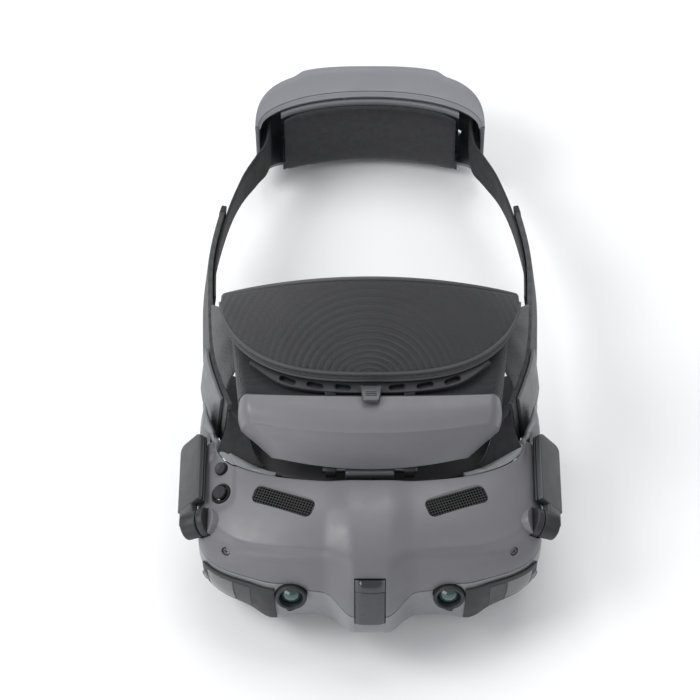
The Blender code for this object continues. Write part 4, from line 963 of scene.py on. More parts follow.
joy, back = button_frame(JOY_PLAN), button_frame(BACK_PLAN)
for matrix, radius in ((joy, JOY_RING + GAP), (back, BACK_RADIUS + GAP)):
    out, at = matrix.to_3x3().col[2], matrix.translation
    top_cutters.append(cylinder("button_hole", radius, at - out * 6 * MM, at + out * 6 * MM, 64))
ring = turned(
    "menu_ring",
    [
        (2.75 * MM, -2.2 * MM),
        (2.75 * MM, -1.95 * MM),
        (JOY_RADIUS + 0.5 * MM, -1.95 * MM),
        (JOY_RADIUS + 0.5 * MM, -1.3 * MM),
        (JOY_RING - 0.45 * MM, -0.5 * MM),
        (JOY_RING - 0.15 * MM, -0.42 * MM),
        (JOY_RING, -0.6 * MM),
        (JOY_RING, -2.2 * MM),
        (2.75 * MM, -2.2 * MM),
    ],
    joy,
)
show(ring, DARK, "goggles", "five_way_ring")
stick = in_mm((1.0, 0.95), (1.9, 1.25), (2.5, 1.3), (3.0, 1.0), (3.2, 0.4), (2.6, -0.6), (2.4, -3.0))
stick = [(AXIS, 0.9 * MM), *stick, (AXIS, -3.0 * MM)]
show(turned("menu_stick", stick, joy), RUBBER, "five_way_button", "five_way_button", slot="dark_plastic")
key = [
    (AXIS, 0.55 * MM),
    *in_mm((1.2, 0.6), (2.1, 0.88), (2.5, 0.85), (2.78, 0.5), (2.8, -3.0)),
    (AXIS, -3.0 * MM),
]
show(turned("back_key", key, back), DARK, "back_button", "back_button")

# ================================================================ the shells are cut and shown
EYE_X, KNOB_Y, KNOB_RADIUS, EYE_TRAVEL = 32.0 * MM, -82.0 * MM, 7.5 * MM, 4.0 * MM
for label, side in SIDES:
    reach = KNOB_RADIUS + 0.5 * MM
    matrix = Matrix.Translation((side * EYE_X, KNOB_Y, 0.0))
    bottom_cutters.append(
        pill(f"knob_slot_{label}", 2 * (reach + EYE_TRAVEL), 2 * reach, -10 * MM, 10 * MM, matrix)
    )
for shell, cutters, look, node in (
    (top_shell, top_cutters, BODY_GREY, "top_shell"),
    (front_shell, front_cutters, LIGHT_GREY, "front_shell"),
    (bottom_cover, bottom_cutters, BODY_GREY, "bottom_cover"),
):
    cut(shell, cutters)
    show(shell, look, "goggles", node)

# ================================================================ rear frame and face foam
def face_ring(half_x, low_z, high_z, mid_y, side_y, square, nose, count=140):
    points = []
    for k in range(count):
        turn = 2.0 * k / count - 1.0
        angle = pi * (1.0 + copysign(abs(turn) ** 1.3, turn))
        across, up = superellipse(angle, square)
        x = half_x * MM * across
        z = (low_z + high_z) / 2 + (high_z - low_z) / 2 * up
        y = lerp(mid_y, side_y, (abs(x) / (half_x * MM)) ** 2)
        if up < 0:
            z += nose * (1.0 - smoothstep(NOSE_FLAT, NOSE_FOOT + 3 * MM, abs(x)))
        points.append(Vector((x, y * MM, z * MM)))
    return points


def smooth_rings(values, count):
    """More rings between the given ones, round a closed section."""
    total = len(values)
    rings = []
    for k in range(total * count):
        place = k / count
        first = int(place)
        share = place - first
        near = [[column[(first + d) % total] for d in (-1, 0, 1, 2)] for column in zip(*values)]
        rings.append([catmull(four, 1.0 + share) for four in near])
    return rings


FRAME_RINGS = [
    (72.0, 3.4, 64.8, -77.0, -56.0, 2.7, 29.3),
    (72.0, 3.4, 65.0, -74.5, -52.5, 2.7, 29.3),
    (60.8, 5.0, 65.6, -71.0, -49.0, 2.7, 29.3),
    (60.5, 6.0, 66.6, -60.0, -36.5, 2.7, 29.3),
    (58.0, 8.0, 64.6, -60.0, -37.5, 2.7, 29.3),
    (57.6, 5.6, 63.0, -76.5, -54.0, 2.7, 29.3),
]
FOAM_RINGS = [
    (60.0, 6.6, 66.6, -59.4, -35.9, 2.7, 29.3),
    (62.0, 4.5, 68.5, -48.0, -25.0, 2.6, 26.5),
    (60.0, 6.5, 67.5, -43.0, -19.0, 2.6, 26.5),
    (54.5, 12.5, 61.5, -44.0, -20.0, 2.5, 22.0),
    (52.5, 13.5, 60.5, -50.0, -27.0, 2.5, 22.0),
    (53.5, 12.0, 61.5, -59.4, -36.5, 2.6, 22.0),
]
rear = settle(
    bevel(loft("eye_frame", [face_ring(*ring) for ring in FRAME_RINGS], ring=True), 0.5 * MM, 3, 35.0)
)
show(rear, DARK, "goggles", "rear_frame")
foam = settle(
    loft("foam_ring", [face_ring(*ring) for ring in smooth_rings(FOAM_RINGS, 6)], ring=True), 80.0
)
show(foam, FOAM, "goggles", "face_foam")
stitch_ring = face_ring(61.3, 5.3, 67.9, -50.6, -27.5, 2.6, 27.2, 160)
attach(tube("foam_ring_piping", stitch_ring, 0.55 * MM, True), RUBBER, foam)

# Grey shoulders run from the shell's upper edge back to the ears.
SHOULDER_START, SHOULDER_END, SHOULDER_WALL = 36.0, 79.0, 1.4 * MM
SHOULDER_AT_EAR, SHOULDER_BULGE, SHOULDER_FALL = (72.5, -40.0, 57.0), 1.6 * MM, 5.0 * MM


def shoulder_row(side, share):
    """The points across the shoulder, from under the shell's rim to the rear."""
    front = body_point(0.0, side * radians(lerp(SHOULDER_START, SHOULDER_END, share)))
    front += Vector((0.0, 1.3 * MM, -1.1 * MM))
    share = smoothstep(0.0, 1.0, share)
    beside_rim = (abs(front.x) / MM - 1.0, front.y / MM + 3.0, front.z / MM - 2.0)
    x, y, z = (lerp(a, b, share) for a, b in zip(beside_rim, SHOULDER_AT_EAR))
    rear_edge = Vector((side * x, y, z)) * MM
    row = []
    for m in range(15):
        across = m / 14
        rise = SHOULDER_BULGE * sin(pi * across) * share - SHOULDER_FALL * max(0.0, across - 0.8)
        row.append(front.lerp(rear_edge, across) + Vector((0.0, 0.0, rise)))
    return row


for label, side in SIDES:
    rows = [shoulder_row(side, k / 60) for k in range(61)]
    shoulder = sheet(f"shoulder_{label}", rows, SHOULDER_WALL, Vector((0.0, -50.0, 20.0)) * MM, 0.5 * MM)
    attach(shoulder, LIGHT_GREY, rear)

# ================================================================ focus knobs
for label, side in SIDES:
    low, top = 0.7 * MM, 6.0 * MM
    profile = [(AXIS, 11.0 * MM), (2.2 * MM, 11.0 * MM), (2.2 * MM, top)]
    profile += [
        (KNOB_RADIUS - 0.7 * MM, top),
        (KNOB_RADIUS - 0.2 * MM, top - 0.2 * MM),
        (KNOB_RADIUS, top - 0.7 * MM),
    ]
    profile += [
        (KNOB_RADIUS, low + 0.7 * MM),
        (KNOB_RADIUS - 0.2 * MM, low + 0.2 * MM),
        (KNOB_RADIUS - 0.7 * MM, low),
    ]
    profile += [
        (KNOB_RADIUS - 1.6 * MM, low), (KNOB_RADIUS - 1.9 * MM, low + 0.5 * MM), (AXIS, low + 0.5 * MM)
    ]
    knob = turned(
        f"focus_dial_{label}", profile, Matrix.Translation((side * EYE_X, KNOB_Y, 0.0)), 64, 28, 0.35 * MM
    )
    show(knob, RUBBER, f"knob_{label}", f"focus_knob_{label}")

# ================================================================ headband
BAND_PLAN = [
    (63.5, -44.0), (69.0, -28.0), (74.0, -8.0), (76.5, 24.0), (77.0, 56.0),
    (72.5, 88.0), (66.0, 112.0), (58.5, 128.0), (53.8, 138.0), (52.8, 158.0),
]
BAND_HEIGHT, SLEEVE_THICK, BAND_THICK = 33.0 * MM, 2.6 * MM, 1.5 * MM
BAND_FRONT_Z, BAND_BACK_Z, BAND_TILT = 58.0 * MM, 31.0 * MM, 0.12
SLEEVE_END, INNER_START, CLIP_END = 5.0, 3.2, 2.1
PLAN_X, PLAN_Y = zip(*BAND_PLAN)


def band_point(place, side, depth, share):
    x, y = catmull(PLAN_X, place), catmull(PLAN_Y, place)
    low, high = max(0.0, place - 0.05), min(len(BAND_PLAN) - 1.0, place + 0.05)
    run = Vector(
        (catmull(PLAN_X, high) - catmull(PLAN_X, low), catmull(PLAN_Y, high) - catmull(PLAN_Y, low))
    )
    out = Vector((run.y, -run.x)).normalized()
    travel = (y - PLAN_Y[0]) / (PLAN_Y[-1] - PLAN_Y[0])
    z = lerp(BAND_FRONT_Z, BAND_BACK_Z, travel) + share * BAND_HEIGHT * lerp(1.0, 0.86, travel)
    lean = share * BAND_HEIGHT * BAND_TILT * (1.0 - smoothstep(0.72, 0.92, travel))
    reach = depth - lean
    return Vector((side * (x * MM + out.x * reach), y * MM + out.y * reach, z))


def band_piece(name, start, end, count, inner, outer, side, trim=1.0, seams=0.0, square=9.0, sides=96):
    """A strip of the headband with rounded long edges; seams sinks a stitched line near each of them."""
    sections = []
    for k in range(count):
        place = lerp(start, end, k / (count - 1))
        fade = min(1.0, k / 2.5, (count - 1 - k) / 2.5) if seams else 1.0
        outline = []
        for m in range(sides):
            angle = 2 * pi * m / sides
            depth, share = superellipse(angle, square)
            share = copysign(abs(share) ** 0.9, share)
            inset = seams * exp(-(((abs(share) - 0.84) / 0.035) ** 2)) if abs(depth) > 0.9 else 0.0
            puff = 0.92 + 0.08 * fade
            thick = (outer - inner) / 2 * puff - inset
            outline.append(band_point(place, side, (inner + outer) / 2 + depth * thick, share * 0.5 * trim))
        sections.append(outline)
    return loft(name, sections)


SLEEVE_IN, SLEEVE_OUT = -SLEEVE_THICK / 2, SLEEVE_THICK / 2
CLIP_OUT = SLEEVE_OUT + GAP + 1.6 * MM
INNER_OUT = SLEEVE_IN - GAP
for label, side in SIDES:
    sleeve = settle(
        band_piece(
            f"sleeve_{label}", 0.25, SLEEVE_END, int(110 * FINE), SLEEVE_IN, SLEEVE_OUT, side, 1.0,
            0.28 * MM,
        )
    )
    show(sleeve, KNIT, "goggles", f"strap_{label}")
    cuff = settle(
        bevel(
            band_piece(
                f"cuff_{label}", SLEEVE_END - 0.12, SLEEVE_END + 0.03, 8, SLEEVE_IN - 0.1 * MM,
                SLEEVE_OUT + 0.25 * MM, side, 1.02,
            ),
            0.3 * MM,
        )
    )
    attach(cuff, RUBBER, sleeve)
    tail = settle(
        band_piece(
            f"band_{label}", INNER_START, len(BAND_PLAN) - 1.0, int(90 * FINE), INNER_OUT - BAND_THICK,
            INNER_OUT, side, 0.8, 0.0, 6.0,
        )
    )
    show(tail, RUBBER, "goggles", f"strap_tail_{label}", slot="dark_plastic")
    clip = settle(
        bevel(
            band_piece(
                f"clip_{label}", 0.5, CLIP_END, int(40 * FINE), SLEEVE_OUT + GAP, CLIP_OUT, side, 1.02,
                0.0, 7.0,
            ),
            0.35 * MM,
            3,
        )
    )
    show(clip, CLIP_GREY, "goggles", f"strap_clip_{label}")

EAR_FRONT, EAR_BACK, EAR_OUT, EAR_LOW, EAR_HIGH = -47.0 * MM, -27.0 * MM, 77.8 * MM, 22.0 * MM, 60.5 * MM


def ear_inner(y):
    best, y = -1.0, max(y, PLAN_Y[0] * MM)
    for k in range(240):
        place = 9.0 * k / 240
        if abs(catmull(PLAN_Y, place) * MM - y) < 2.0 * MM:
            best = max(best, band_point(place, 1, CLIP_OUT + 0.5 * MM, -0.5).x)
    return best


for label, side in SIDES:
    sections = []
    for k in range(30):
        share = k / 29
        y = lerp(EAR_FRONT, EAR_BACK, share)
        inner = ear_inner(y)
        outer = max(
            inner + 1.6 * MM, EAR_OUT - 2.4 * MM * share**3 - 4.8 * MM * max(0.0, 1.0 - share / 0.3)
        )
        near = max(0.0, 1.0 - share * 9.0) ** 2
        tall = (EAR_HIGH - EAR_LOW) / 2 * (1.0 - 0.22 * share**3 - 0.05 * near)
        outline = []
        for m in range(72):
            across, up = superellipse(2 * pi * m / 72, 3.4)
            wide = (outer - inner) / 2 * (1.0 - 0.12 * near)
            outline.append(
                Vector(
                    (side * ((inner + outer) / 2 + across * wide), y, (EAR_LOW + EAR_HIGH) / 2 + up * tall)
                )
            )
        sections.append(outline)
    piece = settle(bevel(loft(f"ear_block_{label}", sections), 0.5 * MM, 3, 55.0), 40.0)
    show(piece, LIGHT_GREY, "goggles", f"ear_{label}")

# ================================================================ forehead support
PIVOT = Vector((0.0, -71.5, 70.3)) * MM
HOUSING_ROWS = [
    (-74.6, 74.6, 37.0, -71.5, 77.0, 43.5),
    (-71.4, 84.0, 43.5, -65.5, 84.0, 51.0),
    (-66.8, 92.0, 50.5, -60.0, 89.0, 57.2),
    (-58.5, 95.0, 52.5, -53.5, 92.0, 58.8),
    (-50.5, 96.5, 53.5, -47.0, 93.0, 58.5),
]
HOUSING_FALL = 12.0
HOUSING_COLUMNS = list(zip(*HOUSING_ROWS))


def housing_point(place, over):
    """The housing's skin: place 0 to 4 from foot to rear edge, over -1 to 1 across, ends beyond 0.8."""
    sharp = exp(-(((place - 2.0) / 0.6) ** 2))
    y, z, half, end_y, end_z, end = (
        lerp(catmull(column, place), straight(column, place), sharp) for column in HOUSING_COLUMNS
    )
    share = min(1.0, abs(over) / 0.8)
    past = max(0.0, (abs(over) - 0.8) / 0.2)
    x = half * share + (end - half) * sin(past * HALF_PI)
    y = lerp(y, end_y, share**2) + 2.5 * past
    fall = HOUSING_FALL * lerp(0.15, 1.0, min(1.0, place / 2.5))
    z = lerp(z, end_z, share**2) - fall * (1 - cos(past * HALF_PI))
    return Vector((copysign(x, over), y, z)) * MM


rows = [[housing_point(4.0 * k / 44, m / 60) for m in range(-60, 61)] for k in range(45)]
housing = sheet("housing_shell", rows, 1.6 * MM, Vector((0.0, -52.0, 78.0)) * MM, 0.45 * MM)
show(housing, BODY_GREY, "forehead_support", "forehead_housing")
lip_points = [housing_point(4.0, m / 60) + Vector((0, 0.35 * MM, -0.9 * MM)) for m in range(-57, 58)]
attach(tube("housing_lip", lip_points, 0.75 * MM), DARK, housing)

PAD_HALF, PAD_THICK, PAD_BULGE, PAD_SQUARE = 66.0 * MM, 7.0 * MM, 5.0 * MM, 2.6
PAD_FOOT_Y, PAD_END_Y, PAD_TOP_Y = -42.6 * MM, -5.0 * MM, -17.0 * MM
PAD_FOOT_Z, PAD_END_Z, PAD_TOP_Z, PAD_END_TALL = 97.0 * MM, 106.0 * MM, 138.0 * MM, 4.0 * MM


def pad_edges(angle):
    across, ahead = superellipse(angle, PAD_SQUARE)
    x = PAD_HALF * across
    low = Vector((x, lerp(PAD_END_Y, PAD_FOOT_Y, ahead), lerp(PAD_FOOT_Z, PAD_END_Z, across**4)))
    high = Vector(
        (x, lerp(PAD_TOP_Y, PAD_END_Y, across**2), lerp(PAD_TOP_Z, PAD_END_Z + PAD_END_TALL, across**2))
    )
    return low, high


def pad_out(angle):
    return Vector((sin(angle) * 0.9, -cos(angle), 0.45)).normalized()


def pad_point(angle, height, depth):
    low, high = pad_edges(angle)
    tall = (high - low).length / (PAD_TOP_Z - PAD_FOOT_Z)
    bulge = PAD_BULGE * min(1.0, tall) * sin(height * pi)
    return low.lerp(high, height) + pad_out(angle) * (bulge - depth)


RIB_CENTRE = pad_point(0.0, 0.02, 0.0)
RIB_PITCH, RIB_DEPTH = 3.1 * MM, 0.75 * MM


def ribbed(angle, height):
    """The cushion's outer side with sewn ribs that run in arcs round the middle of its foot."""
    point = pad_point(angle, height, 0.0)
    reach = (point - RIB_CENTRE).length
    border = smoothstep(0.03, 0.1, height) * (1.0 - smoothstep(0.93, 1.0, height))
    border *= 1.0 - smoothstep(HALF_PI * 0.93, HALF_PI * 0.985, abs(angle))
    wave = abs(sin(pi * reach / RIB_PITCH)) - 1.0
    fade = lerp(1.0, 0.2, smoothstep(24 * MM, 52 * MM, reach))
    edge = 1.3 * MM * (1.0 - min(1.0, height / 0.05, (1.0 - height) / 0.05)) ** 2
    return point + pad_out(angle) * (wave * RIB_DEPTH * fade * border - edge)


def thin(height):
    """The cushion's thickness falls off towards its upper edge."""
    return 1.0 - 0.72 * smoothstep(0.35, 1.0, height)


def build_pad():
    """One closed cushion: ribbed outer side, rounded rim, smooth side against the forehead."""
    columns, lines = int(300 * FINE), int(110 * FINE)
    sections = []
    for k in range(columns + 1):
        angle = lerp(-HALF_PI, HALF_PI, k / columns)
        outline = [ribbed(angle, m / lines) for m in range(lines + 1)]
        around = [(1.0, 0.35), (1.0, 0.7)] + [
            (m / 16, 1.0) for m in range(16, -1, -1)
        ] + [(0.0, 0.7), (0.0, 0.35)]
        outline += [pad_point(angle, height, PAD_THICK * thin(height) * depth) for height, depth in around]
        sections.append(outline)
    return settle(loft("cushion", sections), 65.0)


pad = build_pad()
show(pad, PAD_KNIT, "forehead_support", "forehead_pad")


def inset_height(angle, inset):
    low, high = pad_edges(angle)
    return inset / max((high - low).length, inset * 1.05)


# The rim and seam cords below take the lighter piping grey: a painted highlight.
rim_loop = [pad_point(lerp(-HALF_PI, HALF_PI, k / 150), 0.0, 0.6 * MM) for k in range(151)]
rim_loop += [pad_point(lerp(HALF_PI, -HALF_PI, k / 150), 1.0, 0.9 * MM) for k in range(151)]
rim = tube("cushion_rim", rim_loop, 0.8 * MM, True)
attach(rim, PIPING_PAINTED_HIGHLIGHT, pad)
span = radians(80.0)
seam_angles = [lerp(-span, span, k / 140) for k in range(141)]
seam_loop = [pad_point(angle, inset_height(angle, 4.3 * MM), 0.25 * MM) for angle in seam_angles]
seam = tube("cushion_seam", seam_loop, 1.05 * MM)
attach(seam, PIPING_PAINTED_HIGHLIGHT, pad)

FRAME_DROP, FRAME_THICK, FRAME_TUCK, FRAME_SWEEP = 3.6 * MM, 2.6 * MM, 0.8 * MM, radians(47.0)


def frame_section(angle):
    foot = pad_point(angle, 0.0, 0.0)
    level = Vector((sin(angle), -cos(angle), 0.0))
    reach = lerp(5.6 * MM, 2.0 * MM, smoothstep(0.6, 1.0, abs(angle) / FRAME_SWEEP))
    corners = ((reach, 0), (reach, FRAME_THICK), (-FRAME_TUCK, FRAME_THICK), (-FRAME_TUCK, 0))
    return [foot + level * ahead + Vector((0.0, 0.0, up - FRAME_DROP)) for ahead, up in corners]


support = settle(
    bevel(loft("support_frame", [frame_section(FRAME_SWEEP * k / 40) for k in range(-40, 41)]), 0.4 * MM, 3)
)
slots = []
for k in range(7):
    angle = (k - 3) * radians(10.0)
    level = Vector((sin(angle), -cos(angle), 0.0))
    at = pad_point(angle, 0.0, 0.0) + level * 2.8 * MM + Vector((0.0, 0.0, -FRAME_DROP + FRAME_THICK / 2))
    matrix = Matrix.Translation(at) @ Matrix.Rotation(angle * 0.75, 4, "Z")
    slots.append(pill("slot", 7.8 * MM, 3.0 * MM, -0.9 * MM, 8 * MM, matrix))
cut(support, slots)
show(support, DARK, "forehead_support", "forehead_frame")


def pin_bore():
    reach = Vector((30 * MM, 0, 0))
    return cylinder("bore", PIN_RADIUS + 0.3 * MM, PIVOT - reach, PIVOT + reach)


ARM_X, ARM_WIDTH, PIN_RADIUS, BLOCK_HALF = 17.5 * MM, 5.0 * MM, 1.8 * MM, 11.0 * MM
ARM_SIDE = [
    (-3.2, -2.6), (3.2, -2.6), (29.5, 23.3), (29.5, 25.2), (23.8, 25.2), (20.5, 22.2), (5.6, 12.5),
    (0.6, 4.2), (-3.2, 3.0),
]
for label, side in SIDES:
    sections = [
        [
            Vector((side * (ARM_X + d * ARM_WIDTH / 2), PIVOT.y + y * MM, PIVOT.z + z * MM))
            for y, z in ARM_SIDE
        ]
        for d in (-1, 1)
    ]
    arm = settle(bevel(loft(f"support_arm_{label}", sections), 0.5 * MM, 3, 30.0))
    cut(arm, [pin_bore()])
    attach(arm, DARK, support)
block = settle(
    bevel(
        box(
            "hinge_block",
            (2 * BLOCK_HALF, 8.6 * MM, 6.6 * MM),
            (0.0, PIVOT.y - 0.6 * MM, PIVOT.z - 0.2 * MM),
        ),
        1.2 * MM,
        5,
    )
)
cut(block, [pin_bore()])
show(block, BAR_GREY, "goggles", "forehead_hinge_block", slot="dark_plastic")

TAB_AT = Vector((0.5, -50.8, 98.6)) * MM
outline = [(-5.0, 4.25), (5.0, 4.25), (3.7, -3.2), (2.9, -4.1), (-2.9, -4.1), (-3.7, -3.2)]
sections = [[TAB_AT + Vector((x, y, z)) * MM for x, y in outline] for z in (-1.0, 1.0)]
tab = settle(bevel(loft("tab", sections), 0.55 * MM, 4, 40.0))
grooves = [
    box("groove", (5.0 * MM, 0.45 * MM, 0.7 * MM), TAB_AT + Vector((0, (0.9 * k - 1.2) * MM, 1.0 * MM)))
    for k in range(3)
]
cut(tab, grooves)
show(tab, BAR_GREY, "forehead_support", "release_tab", slot="dark_plastic")

# A dark web closes the space between the frame and the housing.
WEB_SWEEP, WEB_SAG, WEB_WALL = radians(69.0), 1.4 * MM, 0.9 * MM


def web_row(share):
    row = []
    for m in range(-50, 51):
        over = m / 50
        drop = lerp(-FRAME_DROP - 0.4 * MM, -1.2 * MM, smoothstep(0.6, 0.85, abs(over)))
        upper = pad_point(over * WEB_SWEEP, 0.03, 2.4 * MM) + Vector((0, 0, drop))
        lower = housing_point(3.7, over) + Vector((0, 0.6 * MM, -1.9 * MM))
        row.append(upper.lerp(lower, share) - Vector((0.0, 0.0, WEB_SAG * sin(pi * share))))
    return row


web = sheet(
    "support_web",
    [web_row(k / 12) for k in range(13)],
    WEB_WALL,
    Vector((0.0, -40.0, 60.0)) * MM,
    0.25 * MM,
)
attach(web, GUSSET_KNIT, support)

# ================================================================ gussets
GUSSET_THICK = 1.8 * MM
for label, side in SIDES:
    rows = []
    for k in range(49):
        share = k / 48
        low = band_point(lerp(0.7, 2.9, share), side, -0.4 * MM, 0.5) + Vector((0, 0, 2.0 * MM))
        angle = side * radians(lerp(51.0, 86.0, share))
        high = pad_point(angle, 0.0, 3.0 * MM) + Vector((0, 0, -1.6 * MM))
        middle = (low + high) / 2 + Vector((side * 1.5 * MM, -0.8 * MM, 0.8 * MM))
        row = []
        for m in range(29):
            up = m / 28
            point = (1 - up) ** 2 * low + 2 * up * (1 - up) * (2 * middle - (low + high) / 2) + up**2 * high
            fold = 0.35 * MM * sin(share * 17.0 + up * 2.0) * sin(pi * up)
            row.append(point + Vector((side * fold, -fold * 0.5, 0.0)))
        rows.append(row)
    gusset = sheet(
        f"gusset_cloth_{label}", rows, GUSSET_THICK * 0.75, Vector((0.0, 0.0, 60.0)) * MM, 0.35 * MM
    )
    gusset.data.materials.append(GUSSET_KNIT)
    gusset.location = SHIFT
    bpy.context.view_layer.update()
    start = band_point(1.8, side, 0.0, 0.5) + SHIFT
    end = pad_point(side * radians(70.0), 0.0, 3.0 * MM) + SHIFT
    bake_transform(gusset)
    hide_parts(f"gusset_{label}")
    across = sum((row[m + 1] - row[m]).length for row in rows for m in range(28)) / len(rows)

# Dark flaps run from the headband's front to the face foam and put dark cloth where there is shade under
# the head support: painted shade. A row before share 0 runs on towards the middle of the face.
FLAP_ROWS, FLAP_LEAD, FLAP_WALL, FLAP_SAG = 33, 9, 1.2 * MM, 1.2 * MM


def flap_row(side, share):
    outer = band_point(max(0.0, lerp(0.25, 1.7, share)), side, 0.0, 0.36)
    inner = Vector(
        (side * lerp(55.0, 52.5, share), lerp(-50.0, -15.0, share), lerp(66.5, 57.0, share))
    ) * MM
    if share < 0.0:
        back = 1.0 + share * (FLAP_ROWS - 1 - FLAP_LEAD) / FLAP_LEAD
        outer = Vector((side * 70.0, -57.5, 59.5)).lerp(outer / MM, back) * MM
        inner = Vector((side * 48.0, -67.0, 64.5)).lerp(inner / MM, back) * MM
    shares = [m / 10 for m in range(11)]
    return [outer.lerp(inner, m) - Vector((0, 0, FLAP_SAG * sin(pi * m))) for m in shares]


for label, side in SIDES:
    rows = [flap_row(side, (k - FLAP_LEAD) / (FLAP_ROWS - 1 - FLAP_LEAD)) for k in range(FLAP_ROWS)]
    flap = sheet(f"painted_shade_flap_{label}", rows, FLAP_WALL, Vector((0.0, -30.0, 0.0)) * MM, 0.4 * MM)
    attach(flap, FOAM, foam)

# ================================================================ battery housing
POD_ROWS = [
    (50.8, 161.5, 54.0, 141.0, 2.0, 0.0),
    (52.0, 166.0, 56.0, 141.0, 2.2, 0.2),
    (51.6, 176.5, 57.0, 141.0, 2.7, 0.7),
    (46.5, 181.5, 57.0, 141.0, 3.0, 1.0),
    (26.0, 182.0, 57.0, 141.0, 3.0, 1.0),
    (5.5, 181.5, 57.0, 141.0, 3.0, 1.0),
    (0.0, 176.5, 57.0, 141.0, 2.7, 0.7),
    (0.0, 166.0, 56.0, 141.0, 2.2, 0.2),
    (1.2, 161.5, 54.0, 141.0, 2.0, 0.0),
]
POD_COLUMNS = list(zip(*POD_ROWS))
PLATEAU_FLAT, PLATEAU_FOOT, PLATEAU_RISE = 33.0 * MM, 39.0 * MM, 2.6 * MM
POD_INSIDE = Vector((0.0, 160.0, 26.0)) * MM
TRIM_END = 0.62


def pod_point(place, angle):
    z, back_y, half, end, square, plateau = (catmull(column, place) for column in POD_COLUMNS)
    across, behind = superellipse(angle, square)
    x = half * across * MM
    y = (end + (back_y - end) * behind) * MM
    rise = 1.0 - smoothstep(PLATEAU_FLAT, PLATEAU_FOOT, abs(x))
    z += 11.0 * smoothstep(28 * MM, 57 * MM, abs(x)) * (1.0 - z / 52.0) ** 2
    return Vector((x, y + rise * plateau * PLATEAU_RISE, max(z * MM, 0.0)))


def pod_rows(start, end, count):
    angles = fan_of_angles(int(76 * FINE), 0.9)
    return [[pod_point(lerp(start, end, k / (count - 1)), angle) for angle in angles] for k in range(count)]


pod = sheet("pod_shell", pod_rows(TRIM_END + 0.05, 8.0, int(96 * FINE)), 1.8 * MM, POD_INSIDE, 0.35 * MM)
DIAL_RADIUS, DIAL_Z, POWER_RADIUS, POWER_Z = 13.0 * MM, 23.0 * MM, 2.8 * MM, 42.5 * MM
power_back = pod_point(3.3, 0.0).y
DIAL_TALL = 5.5 * MM
DIAL_FRONT = DIAL_FACE - DIAL_TALL
cutters = [
    cylinder(
        "dial_hole",
        DIAL_RADIUS + GAP,
        (0.0, DIAL_FACE - 12 * MM, DIAL_Z),
        (0.0, DIAL_FACE + 5 * MM, DIAL_Z),
        96,
    ),
    cylinder(
        "power_hole",
        POWER_RADIUS + GAP,
        (0.0, power_back - 8 * MM, POWER_Z),
        (0.0, power_back + 4 * MM, POWER_Z),
        48,
    ),
]
LAMPS = [Vector(((k - 1.5) * 4.2 * MM + 19.0 * MM, power_back, POWER_Z)) for k in range(4)]
for at in LAMPS:
    cutters.append(
        cylinder("lamp_hole", 0.75 * MM, at - Vector((0, 0.9 * MM, 0)), at + Vector((0, 4 * MM, 0)), 24)
    )
PORT_X, PORT_Z, PORT_LENGTH, PORT_WIDTH = 46.0 * MM, 12 * MM, 9.2 * MM, 3.4 * MM
port_at = Matrix.Translation(
    (PORT_X, pod_point(5.0, radians(40)).y, PORT_Z)
) @ Matrix.Rotation(HALF_PI, 4, "X")
cutters.append(pill("port", PORT_LENGTH, PORT_WIDTH, -6 * MM, 6 * MM, port_at))
cut(pod, cutters)
show(pod, POD_GREY, "battery_pod", "pod_back_shell")
trim = sheet("pod_trim", pod_rows(0.0, TRIM_END, 14), 1.6 * MM, POD_INSIDE, 0.4 * MM)
attach(trim, POD_GREY, pod)
for k, at in enumerate(LAMPS):
    lamp_at = Matrix.Translation(at - Vector((0, 0.85 * MM, 0))) @ along((0, 1, 0))
    piece = turned(f"pod_lamp_{k}", rounded(0.72 * MM, -0.1 * MM, 0.55 * MM, 0.2 * MM), lamp_at, 24)
    attach(piece, SMOKED, pod)


def pod_front_y(x, lead):
    across = min(1.0, abs(x) / (54.0 * MM))
    return (141.0 + 20.5 * sqrt(1.0 - across**2)) * MM - lead


def pod_panel(name, half, outline, columns=90):
    """A curved panel towards the head: outline gives (lead, z, scoop) round its section."""
    sections = []
    for k in range(columns + 1):
        x = lerp(-half, half, k / columns)
        hollow = smoothstep(20 * MM, 34 * MM, abs(x)) * (1.0 - smoothstep(40 * MM, 44.5 * MM, abs(x)))
        sections.append(
            [
                Vector((x, pod_front_y(x, (lead - scoop * hollow) * MM), z * MM))
                for lead, z, scoop in outline
            ]
        )
    return loft(name, sections)


FRONT_HALF = 44.5 * MM
face = [(0.0, 3.4, 0.0), (0.0, 5.0, 0.0)]
face += [(0.05, lerp(6.0, 43.8, k / 20), 1.0 * sin(pi * k / 20)) for k in range(21)]
face += [(0.1, 44.6, 0.0), (-1.8, 44.6, 0.0), (-1.8, 3.4, 0.0)]
front = settle(pod_panel("pod_face", FRONT_HALF, face), 40.0)
show(front, NAVY, "battery_pod", "pod_front_shell")
lip_outline = []
for m in range(28):
    across, up = superellipse(2 * pi * m / 28, 3.0)
    lip_outline.append((0.1 - across * 1.5, 46.9 + up * 1.85, 0.0))
lip = settle(pod_panel("pod_lip", FRONT_HALF, lip_outline), 50.0)
attach(lip, POD_GREY, front)

LINER_HALF, LINER_LEAD, LINER_DEPTH = 43.0 * MM, 5.0 * MM + GAP, 5.0 * MM
liner_outline = [superellipse(2 * pi * m / 56, 3.6) for m in range(56)]
sections = []
for k in range(101):
    share = lerp(-1.0, 1.0, k / 100)
    x = LINER_HALF * share
    crown = (1.0 - abs(share) ** 10) ** 0.5
    tall = 20.0 * lerp(0.9, 1.0, crown)
    sections.append(
        [
            Vector(
                (
                    x,
                    pod_front_y(
                        x,
                        LINER_LEAD - LINER_DEPTH / 2 + (across * 0.5 * lerp(0.5, 1.0, crown)) * LINER_DEPTH,
                    ),
                    26 * MM + up * tall * MM,
                )
            )
            for across, up in liner_outline
        ]
    )
liner = settle(loft("pod_cushion", sections), 70.0)
show(liner, FOAM, "battery_pod", "pod_liner")

